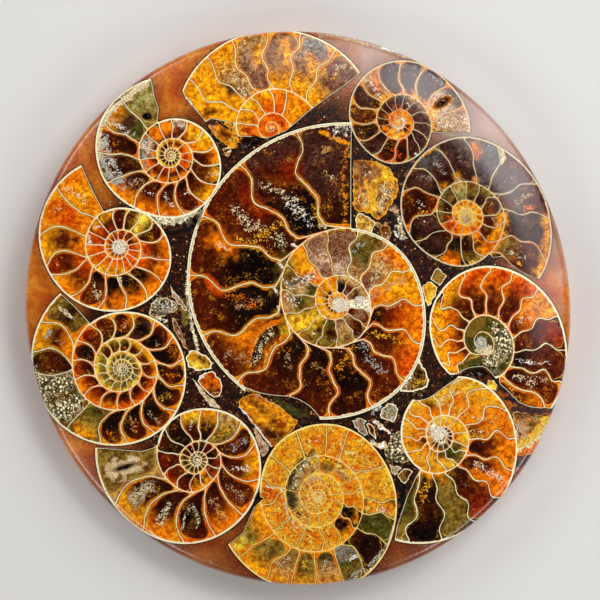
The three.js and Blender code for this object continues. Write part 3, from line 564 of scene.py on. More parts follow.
# %% Septa and fills
USUAL_MARKS = dict(glow=1, crackle=0, seam="x", faint=1, line=0.1, then=24, bend=(0,) * 6, patches=[])
MARKS = {
    "large_ammonite": dict(
        glow=.8, faint=.6, shell=0.8,
        heights=(1, .8, .62, .45, .33, .12, .04, 0), bend=(1, .3, 5.2, 1.5, -1.7, -2, -7, -20),
        septa="""17 39 61 83.5 108 133 157 181 203.5 225.5 248.5 273 299 323 347 371.5 394.5 417 441
            467 494.5 519 545 572 595 620 645 670 695 720 745 770""",
        fills="""llua ltka ccuo ckka ctta coca cuto cuto ukuo ccto fcuo frto aaoh onda vmnn ddpd dpdn
            aaoo vnmv nmvn vvuv vuuv vumv vndn ucnv cdcn eeew nudn ncdn nktn oaaa aaua""",
        patches=[(8.7, .75, 2, .05, "n", 0.1), (88, .72, 4, .1, "f", -1)]),
    "top_right_ammonite": dict(
        glow=.5, seam="z", faint=.7, shell=0.35, heights=(.95, .6, .35, .1), bend=(-4, 0, 0, 0),
        septa="""21.3,19.3,18,9 44,46.7,46,37.5 72,74,72.7,65.5 95,97.6,96,88 118,122,120,113.5
            140,144.7,143.3,139 162.7,167.7,164.7,160 187,191.5,191.5,188.5 213.5,219.4,218,217
            240.6,246.5,245.5,244 266.3,272,270.7,277 290.5,295.6,298.6,306 312.5,318.4,319,327
            335,341,341.8,342 361,366,365.3,365 385,393,394,394 414.7,420.7,422,425 446.5
            464,468.7,468,466 489,492.7,492,490 512 537 562.5 590 615 640 665 690 715""",
        fills="""pnna lpno qlla qlla qlla ndna llua lcua ltla llul cttf utco llul llll llll lcll lcll
            ccll uull cull ctul cttc cttc ootc oaao yaeo oaco occo occo oaaf"""),
    "right_ammonite": dict(
        shell=0.5, then=0, heights=(.9, .8, .6, .4, .18, .03),
        septa="""-3,-.5,-.5,-7,-12,-14 16.7,14.4,19.6,12,10,4 37.3,37.3,42,34.7,32.7,26
            61.6,60.7,65.3,58,56.7,50.7 85.3,83.7,88.7,82,80.7,73.3 108,106.7,111.7,104.5,103.3,97.3
            125,128,132.7,126.4,125,122 146,151,157.3,146.7,146.7,144 170,181,174,169.5,168,163
            196,202,205,192,191.5,186.4 218,227,222,217,218.6,216.5 250,258,240,244,243,242
            270,276,266,268,267,266""",
        fills="ocuo ccuo cctc rccc aoco fcco fcco fcuo acuo aocu aoca aoco aoco mmmv",
        patches=[(345, .3, 30, .4, "e", 1), (405, .5, 62, .65, "e", 1), (520, .5, 50, .6, "v", 0),
                 (690, .5, 70, .6, "e", .1)]),
    "upper_right_ammonite": dict(
        glow=.55, seam="z", shell=0.38, heights=(.95, .65, .35, .15, 0),
        septa="""-3,-7.3,-7,-7,-14 10.7,18.7,15.3,16,4 38.7,43.3,41.3,46,51 64,69.3,67.3,70,78
            104,96,95.7,92,88 131,122.7,120,114,110 154.7,148.7,145.3,144,137 178,171,170.6,174,178
            199.6,191,190,188,185 238,223,220.4,218,208 248.7,250.9,249.4,253,260
            274.4,281.7,280.2,281,274 312,305.2,303,301,299 336,326.4,326.4,330,333
            363,350.6,350.6,350,350 392,378.7,376,374.7,374 412,401.3,399,399,399
            430.7,438.7,432,426,421 464,460,458,457,456 488 517 545 572 600 630 660 690""",
        fills="""vuuv ccvo lluc clcl cllg sqqs llus slus lltl uuco tllt tlut ottu vutu auoc aucv accc
            lccv vuum vvuv niiv mvum vuum vucm vfao ofaa oayy"""),
    "lower_right_ammonite": dict(
        glow=1, crackle=.6, shell=0.5, heights=(.95, .82, .6, .38, .15, .03),
        septa="""6.7,2.9,7.3,.7,-1.5,-6 24,22.7,26.3,19.3,18,10.7 45.3,42,45.3,38.7,38,29.3
            66,63,67.3,60,58.7,52 86.7,86,91.7,84,82,74.7 110.7,110,118,108,107,104
            134,140,145.3,132.7,132.7,136 158.7,165,171,159.3,160.7,160 182,190,192,183,185,182.7
            205,212,214,207,205.5,204 228,236,234,228,229.6,229 250,258,258,252,251.6,251
            268,270,272.5,279,275.8,277 295,297,298.6,307,299.3,301.5 320,322,324,330.5,324,323.5
            366,365,359,350,352,346 392,390,385,375,373,372 412,411,408,396,397,396
            440,438,435,421,422,421 448.7 480 520 545 565 590 613 640 660 690 707 730""",
        fills="""vmuv kutu vvvm rcuc ocuo acuo ooco aooa hooo yaoh hcoa hooh hooh hofh hoch haoh haav
            havv vmmv avvh haoh haoh yaah yaah yyae peah pnae onae onnh ocna occe ocee ccee"""),
    "bottom_ammonite": dict(
        glow=1.2, faint=.9, seam="j", crackle=.95, shell=0.42, line=0.08, heights=(.85, .5, .2, 0),
        septa="""9.6,9.3,11.3,12 30,27.3,33,34 44.7,44,44,44 60,60.4,58.7,58 78.7,78,78,78
            93.3,96.3,95.3,86.7 116.7,117.3,113,112 134.7,136.7,132,130 149.3,146,149,150
            177,178,182,183 216.5,215,213,212 235,233,232,231 260 290 314,319,318.4,318
            340.4,339.6,326,322 370 400 426.7,430.7,425,424 449.3,452,450,449 470,476,471.3,474.7
            492,495.3,492,498.7 522.7,516,517,518 545,536,539,540 570 600 640 680 720 760""",
        fills="""yvaa avva anva avva anma vmgv utuu mmmm aoav haah aaho aoah aoah aaah hoah foaa aooa
            aooh aooh aooh acko auku aooa aooa ynoh hvna hnvy svny snvy aaoh haoh""",
        patches=[(140, .6, 2.5, .25, "w", .5)]),
    "bottom_left_ammonite": dict(
        glow=1.2, shell=0.5, heights=(.95, .6, .35, .15, 0), bend=(4, 0, 0, 2, 4),
        septa="""35,26,24.7,28,40 59,51.3,50.4,55,67 87,78,76.3,79.5,92 110,105.3,105,108,115
            136,134,134.5,138.7,151 169,162.5,162.4,167,178 203,192.3,191,195.2,205
            227,220,219,222.3,232 254,247.7,245.8,248.7,253 272,273.6,273.2,268.5,266
            296.4,300.8,298.6,292,290 322,328.6,327.2,322.8,320 353,354.3,352,350.6,349
            391,383.3,382.7,380.7,384 420,412.7,412.7,416,420 447,439.5,440,445,448
            473,466,467,468,472 495.5 522.7 562,553,554,557,560 582 606.5 630 655 680 705 728""",
        fills="""vvvn auua ouua ckuo ocuo ccuo acuo ucua nvvn auta hcua uttu cttu rccc rccf cctr acco
            ocoa rcrc rctr cttr ccuo uttu utuo utuo ucuy vuvy"""),
    "lower_left_ammonite": dict(
        glow=.9, shell=0.45, heights=(1, .82, .5, .25, .08, 0), bend=(6, 4, 0, 2.5, 8, 14),
        septa="""15 34.5 52,54,56,55,53,51 98,97,97,97,97,97 118.5 139 162 186.5 210.5 234 257 281
            305.5 329 351.5 375 397.5 420.5 442.5 465.5 491 517 545.5 573.5 601.5 632 661 686 710 734""",
        fills="""vuva acoh ucuv mvmv avmv ctta ctta ctto ctta tcta ctto ckto ltla ucta ccta rcco ctto
            rcto orto orto octo fcto fcto fcto occa acca acuh vucy vucy vcuy yvvy yvmy""",
        patches=[(64, .5, 13, .8, "e", 1), (86, .5, 12, .8, "e", 1)]),
    "left_ammonite": dict(
        glow=1.2, shell=0.45, heights=(1, .6, .3, 0), bend=(0, 0, 0, -3),
        septa="""21,23.7,22.7,14 57,46,45,47 80,68.5,71,83 86,91.5,91,83 110,114,112,100
            135,139.6,136,128 160,163.3,157,151 183,187,182.5,172 205,207.3,204.5,195 231,228,226,218
            264,253,254.5,263 287,275,276.5,282 305,298.6,299.5,302 318,324,323,321
            342.5,347.7,347.3,342 372 397 419 441.5 464.5 488 508 529 549 570 594 617 641 668 700 722""",
        fills="""oaoa ofoa acoa rcfa ocfa ccto ctta ctta octa ocfo ocfo cuua yyuy ucuh ucua acrc afrr
            ofro offo offh hofo hofo hofo offo offo offo offo occo ccro crro orrc orrh"""),
    "upper_left_ammonite": dict(
        glow=1.1, shell=0.45, heights=(.95, .6, .35, .15, 0), bend=(2, 0, 0, 0, 0),
        septa="""26,27.7,26,26.7,27 49,52.7,50.7,52.7,53 72.5,74,73.3,77.3,84 98,98,98.5,101,105
            129.3,124,122.7,126,131 154.7,148.7,146.7,150.7,156 178,171.8,170.8,173.7,180
            200.3,194.5,192.6,196,200 222.3,216.5,214.6,217,221 245,239.2,237.3,241,245
            268,261.2,260.5,264,268 293.5,286.9,284.7,289,294 320.6,315.5,315.5,319,324
            345.5,341,342,343,344 366,368,367,365.3,365 394,395.3,395,395,395 420 442.7 467.3 494 518
            545.7 570 595 622.6 656 695 724""",
        fills="""iivi almv cuuo cuuv olua ocuo ocua ccto acuo accu ocua aaoa aoco pccp oocu oocu gpcn
            gpoc nfco ocrc orro ococ occo offc offo ofro acoh acoh hucy""",
        patches=[(190, .4, 8, .1, "e", .4)]),
    "top_ammonite": dict(
        shell=0.35, line=0.09, then=0, heights=(.9, .78, .57, .33, .13, 0),
        septa="""18.7,17.3,20,14,12.7,5 40.7,38.7,42.4,36.7,35.3,27 60,60.7,65.3,61.3,60.7,53
            82,83,87.7,83.3,82.7,77 100,101.3,106.3,102,102,101 117.3,119.3,125.3,120.7,121.3,121
            128,131,142,139.3,141.3,142 160 395,392,388,384,380,378 420,417,413,410,408,407
            451,448,446,444,442,441 476,472,468,467,472,478 500""",
        fills="ddaa gdaa ddaa ndda anna aaah aaaa oaah oaoa oofo aofa haoa aaoh ofoo"),
}

MARKS = {name: {**USUAL_MARKS, **marks} for name, marks in MARKS.items()}
print(sum(len(marks["fills"].split()) for marks in MARKS.values()), "fills in", len(MARKS), "coils")

# %% [markdown]
# ## Reading a coil
# Painting these lines as an image would blur them, and modelling each as a thin raised wall
# would be wrong, because the real face is polished flat. So every corner of the net is told
# where it is in its chamber: how far from the septa, from the walls, and how deep inside.
# These are stored on the mesh as attributes, and the material turns them into lines, linings
# and glow. Distances keep the lines crisp at any size.
#
# First, the septa. Each is a smooth curve through its few values, kept as a row of a table
# with a column for every step across the whorl.

# %% The table of septa
HEIGHT_STEPS = np.linspace(0, 1, 41)
SMALLEST_WALL = 1.2
INNER_BEND = 0.6


def smooth_through(places, values, at):
    """A smooth curve through a few values, read at other places."""
    places = np.array(places[::-1], float)
    values = np.array(values[::-1], float)
    slopes = np.gradient(values, places)
    at = np.clip(at, places[0], places[-1])
    index = np.clip(np.searchsorted(places, at) - 1, 0, len(places) - 2)
    span = places[index + 1] - places[index]
    part = (at - places[index]) / span
    low, high = values[index], values[index + 1]
    rise, fall = slopes[index] * span, slopes[index + 1] * span
    return (low * (1 + 2 * part) * (1 - part) ** 2 + rise * part * (1 - part) ** 2
            + high * part ** 2 * (3 - 2 * part) + fall * part ** 2 * (part - 1))


def septum_table(coil, marks):
    """Each septum's degrees back from the mouth, at even steps across the whorl."""
    heights = marks["heights"]
    rows = []
    for word in marks["septa"].split():
        septum = [float(value) for value in word.split(",")]
        if len(septum) == 1:
            share = 1.0 if septum[0] < 360 else INNER_BEND
            septum = [septum[0] + share * offset for offset in marks["bend"][:len(heights)]]
        rows.append(smooth_through(heights, septum, HEIGHT_STEPS))
    while wall_radius(coil, rows[-1][0]) > SMALLEST_WALL and marks["then"]:
        rows.append(rows[-1] + marks["then"])
    return np.array(rows)


def column_at(level):
    """The column of the table for a height across the whorl, and the way on to the next."""
    place = level * (len(HEIGHT_STEPS) - 1)
    low = np.minimum(place.astype(int), len(HEIGHT_STEPS) - 2)
    return low, place - low


def septum_at(table, row, low, part):
    """Degrees back from the mouth at which a septum stands, between two columns."""
    return table[row, low] * (1 - part) + table[row, low + 1] * part


tables = {name: septum_table(COILS[name], marks) for name, marks in MARKS.items()}
print(sum(len(table) for table in tables.values()), "septa")

# %% [markdown]
# Next, the place of each corner. A triangle belongs to one chamber, even where one of its
# corners lies just across a wall, so the chamber and the whorl are found for its middle. The
# corners then measure from there, and the lines don't tear.

# %% Places and distances in a coil
NOWHERE = 50.0
WOBBLE = 0.8
LARGEST_ROOM = 40


def chamber_of(coil, table, middle):
    """Which chamber each triangle is in, and how far back from the mouth it is."""
    back, radius = coil_place(coil, *middle.T)
    outer = wall_radius(coil, back)
    inner = wall_radius(coil, back + 360)
    low, part = column_at(np.clip((radius - inner) / (outer - inner), 0, 1))
    passed = septum_at(table, slice(None), low, part) <= back
    return passed.sum(axis=0), back


def corner_places(coil, back, corner):
    """Degrees back, radius, and the radii of the two walls, at every corner."""
    dx = corner[..., 0] - coil["at"][0]
    dy = corner[..., 1] - coil["at"][1]
    turn = np.degrees(np.arctan2(dy, dx)) - coil["mouth"]
    back = back[:, None] + (turn - back[:, None] + 180) % 360 - 180
    return back, np.hypot(dx, dy), wall_radius(coil, back), wall_radius(coil, back + 360)


def past_septum(table, which, back, radius, width, level, wobble):
    """Distance in millimetres past a septum, measured square to it."""
    low, part = column_at(level)
    row = np.clip(which, 0, len(table) - 1)
    slope = (table[row, low + 1] - table[row, low]) * (len(HEIGHT_STEPS) - 1)
    steep = np.radians(slope) / width
    gap = np.radians(back - septum_at(table, row, low, part)) + wobble * 0.25 / np.maximum(radius, 1)
    distance = gap / np.sqrt(1 / np.maximum(radius, 0.2) ** 2 + steep ** 2)
    missing = (which < 0) | (which >= len(table))
    return np.where(missing, NOWHERE, distance)


def lip_distance(coil, x, y):
    """Distance to the broken lip and to the bites, which have a wall of shell too."""
    outline = coil_outline(coil)
    first = len(outline) - len(coil["lip"]) - 1
    lip = np.vstack([outline[first:], outline[:1]])
    near = line_distance(lip, x.ravel(), y.ravel(), closed=False)
    for bite in coil["bites"]:
        near = np.minimum(near, line_distance(rounded(bite), x.ravel(), y.ravel()))
    return near.reshape(x.shape)


print("the large coil's first septum meets the wall", tables["large_ammonite"][0, -1], "degrees back")

# %% [markdown]
# Last, the fill. Calcite grew from the walls inwards, so a chamber has a bright edge and a
# darker core, and the core shades from the outer colour to the inner one. `depth` falls below
# zero in the corners between two walls, where the bright edge is widest: that is the web.

# %% Fills and attributes of a coil
WEB = 3.8
SUGARY = "npegbwsd"
GOLDEN = "aohyf"
FULL_SIZE = 6.0


def lay_mark(marks, cover, letter, crystal):
    """Lays one soft mark over what is there, or recolours the stone itself."""
    if crystal < 0:
        share = (cover ** 0.7)[..., None]
        for key in ("core", "edge"):
            marks[key] = marks[key] * (1 - share) + INK[letter] * share
        return
    patch = marks["patch"].copy()
    total = patch[..., 3] * (1 - cover) + cover
    mix = np.where(total > 0, cover / np.maximum(total, 1e-6), 0)[..., None]
    patch[..., :3] = patch[..., :3] * (1 - mix) + INK[letter] * mix
    patch[..., 3] = total
    marks["patch"] = patch
    marks["grain"] = marks["grain"] * (1 - cover) + crystal * cover


def sugariness(word):
    """How sugary a fill looks: the more of its colours are milky ones, the more."""
    return 0.1 + 0.3 * sum(letter in SUGARY for letter in word[:3])


def lay_coil_patches(marks, fill, table, which, back, level):
    """Lays the soft spots that follow a coil over its fill. They lean as the septa do."""
    low, part = column_at(level)
    row = np.clip(which - 1, 0, len(table) - 1)
    leaning = septum_at(table, row, low, part)
    for turn_at, level_at, half_turn, half_level, letter, crystal in marks["patches"]:
        shift = leaning - table[row, int(level_at * (len(HEIGHT_STEPS) - 1))]
        far = ((back - shift - turn_at) / half_turn) ** 2 + ((level - level_at) / half_level) ** 2
        cover = np.clip((1.2 if crystal < 0 else 1.15) - far, 0, 1)
        lay_mark(fill, cover, letter, crystal)


def fill_of(marks, chamber, level):
    """Colours and textures of every corner, from the word of its chamber."""
    words = marks["fills"].split()
    word = np.minimum(chamber, len(words) - 1)
    tones = np.array([[INK[letter] for letter in text] for text in words])[word][:, None]
    upper = np.clip((level - 0.5) / 0.35, 0, 1)[..., None]
    lower = np.clip((0.45 - level) / 0.3, 0, 1)[..., None]
    core = tones[:, :, 1] * (1 - upper) + tones[:, :, 0] * upper
    core = core * (1 - lower) + tones[:, :, 2] * lower
    sugar = np.array([sugariness(text) for text in words])[word]
    crackle = np.array([marks["crackle"] * float(text[1] in GOLDEN) for text in words])[word]
    return dict(core=core, edge=np.broadcast_to(tones[:, :, 3], core.shape),
                seam=np.broadcast_to(INK[marks["seam"]], core.shape),
                patch=np.zeros(level.shape + (4,)), grain=np.zeros(level.shape),
                sugar=np.broadcast_to(sugar[:, None], level.shape),
                crackle=np.broadcast_to(crackle[:, None], level.shape))


def read_coil(coil, marks, table, middle, corner):
    """Attributes of every corner of a coil's triangles."""
    chamber, back = chamber_of(coil, table, middle)
    back, radius, outer, inner = corner_places(coil, back, corner)
    width = outer - inner
    level = np.clip((radius - inner) / width, 0, 1)
    which = chamber[:, None]
    wobble = WOBBLE * rough(*corner.reshape(-1, 2).T, 2.2, 7).reshape(corner.shape[:2])
    behind = past_septum(table, which - 1, back, radius, width, level, wobble)
    ahead = -past_septum(table, which, back, radius, width, level, wobble)
    ahead = np.where(which >= len(table), NOWHERE, ahead)
    septum = np.minimum(behind, ahead)
    room = np.minimum(behind + ahead, LARGEST_ROOM)
    web = np.minimum(0.5 * np.minimum(np.clip(room, 0.5, None), width), WEB * marks["glow"])
    from_septum = np.clip(1 - septum / web, 0, None)
    from_wall = np.clip(1 - np.minimum(outer - radius, radius - inner) / web, 0, None)
    fill = fill_of(marks, chamber, level)
    lay_coil_patches(marks, fill, table, which, back, level)
    lip = lip_distance(coil, corner[..., 0], corner[..., 1]) + 0.04 * wobble
    fine = marks["line"] * np.clip(width / FULL_SIZE, 0.3, 1) * np.where(back > 360, marks["faint"], 1)
    return dict(fill, septum=np.minimum(septum, lip), outer=outer - radius, inner=radius - inner,
                size=np.clip(np.minimum(width, room) / FULL_SIZE, 0.15, 1),
                depth=np.clip(1 - np.hypot(from_septum, from_wall), -0.5, 1),
                shell=np.where(back < coil["turn"], marks["shell"], fine * 1.2), line=fine)


print("web up to", WEB, "mm wide, lines full size in whorls over", FULL_SIZE, "mm")

# %% [markdown]
# ## Reading a chip
# A chip has no septa. Its core is a cloudy mix of the first three colours of its word, and
# its depth is only the distance from its own outline. Chips of druse are covered by crystals
# of the fourth colour, and a few chips still have a rim of shell.

# %% Reading a chip
CHIP_FILLS = {
    "amber_block": "anuh", "tan_block": "nyne", "brown_chip": "cdun", "cream_lump": "eewe",
    "olive_square": "vvmo", "yellow_chip": "hyay", "amber_chip": "aahe", "orange_chip": "ofro",
    "white_sliver": "eewe", "grey_lump": "kgke", "pale_sliver": "lqpp", "thin_sliver": "gplw",
    "amber_wedge": "ocah", "pink_sliver": "pgpp", "quarter_chip": "vuke", "striped_block": "bibe",
    "white_splinter": "wwew", "grey_chip": "ggpg", "rust_chip": "cuca", "cream_chip": "eewe",
    "speckled_block": "kske", "blue_grey_lump": "bbge", "brown_oval": "umcn",
    "rim_shell": "dvoe", "yellow_nub": "yyhe", "orange_lump": "oaoh", "pale_chip": "ppen",
}

CHIP_GRAIN = {"cream_lump": 1, "grey_lump": .5, "white_sliver": .6, "speckled_block": 1,
              "blue_grey_lump": .8, "grey_chip": .6}
CHIP_RIM = {"amber_chip": .3, "orange_chip": .22, "striped_block": .2, "tan_block": .15,
            "olive_square": .15, "yellow_chip": .15, "rust_chip": .15, "quarter_chip": .35,
            "brown_oval": .15, "grey_chip": .12}
NO_RIM = -0.3
CHIP_EDGE = 1.2


def read_chip(name, corner):
    """Attributes of every corner of a chip's triangles."""
    shape = corner.shape[:2]
    x, y = corner.reshape(-1, 2).T
    word = CHIP_FILLS[name]
    share = np.clip(0.5 + 0.7 * rough(x, y, 2.5, 11).reshape(shape), 0, 1)[..., None]
    core = INK[word[0]] * share + INK[word[1]] * (1 - share)
    spots = np.clip(rough(x, y, 1.2, 13).reshape(shape) * 3, 0, 1)[..., None]
    core = core * (1 - spots) + INK[word[2]] * spots
    distance = line_distance(outlines[name], x, y).reshape(shape)
    grain = float(CHIP_GRAIN.get(name, 0))
    patch = np.zeros(shape + (4,))
    patch[..., :3] = INK[word[3]]
    patch[..., 3] = 0.85 if grain else 0
    same = dict(grain=grain, septum=NOWHERE, inner=NOWHERE, sugar=sugariness(word), line=0.1,
                shell=CHIP_RIM.get(name, NO_RIM), size=0.5, crackle=0.2)
    marks = {key: np.full(shape, value) for key, value in same.items()}
    return dict(marks, core=core, edge=np.broadcast_to(INK[word[3]], core.shape),
                seam=np.broadcast_to(INK["x"], core.shape), patch=patch, outer=distance,
                depth=np.clip(distance / CHIP_EDGE, 0, 1))


print(len(CHIP_GRAIN), "druzy chips,", len(CHIP_RIM), "chips with a rim of shell")

# %% [markdown]
# ## Spots and streaks on the plan
# Some marks don't follow a coil: the druzy hearts, milky streaks across chambers, bright
# flecks of calcite, and the crusts of shell and crystal along the broken edges. A few are
# painted light and shade: a pale painted sheen along the rim at the upper right, and painted
# shade in the vugs. They could be painted by hand in Texture Paint. Here each is a line of the
# table instead, so it can be changed like any other size. A spot is an ellipse: its middle,
# half sizes, turn, colour and how broken up it is. A streak has a colour, how broken up it is
# (-1 recolours the stone), half a width, and a path. Later ones lie over earlier ones.

# %% Spots and streaks on the plan
SPOTS = [
    (11.4, 0.8, 2.6, 2.3, 0, "w", .12), (16.8, 2.2, 1.6, 1.3, 0, "w", .12),
    (-48.6, 16.5, 2.4, 2.2, 0, "w", .12), (38.2, -34, 2.4, 2.2, 0, "w", .12),
    (49.7, -9.5, 1.9, 1.9, 0, "b", .12), (45.9, 24.7, 3, 2.8, 0, "y", 0),
    (45.7, 24.3, 1.5, 1.5, 0, "n", .1),
    (27.2, 50.7, .8, .7, 0, "y", 0), (5.4, -51.4, 1.5, 1.3, 0, "e", .5),
    (12.8, -54.9, .8, .7, 0, "k", 0), (12.8, -59, .6, .7, 0, "k", 0),
    (39.2, 55.9, 3.7, 2, 32, "h", .3), (39.2, 55.9, 3, 1.4, 32, "o", .2),
    # The coal spots over the three vugs are painted shade in their hollows.
    (39.2, 55.9, 2.6, 1, 32, "k", 0),
    (-47.4, -43.4, 3.3, .8, 17, "k", 0), (-41.2, 52.2, 1.4, 1, 0, "k", 0),
]
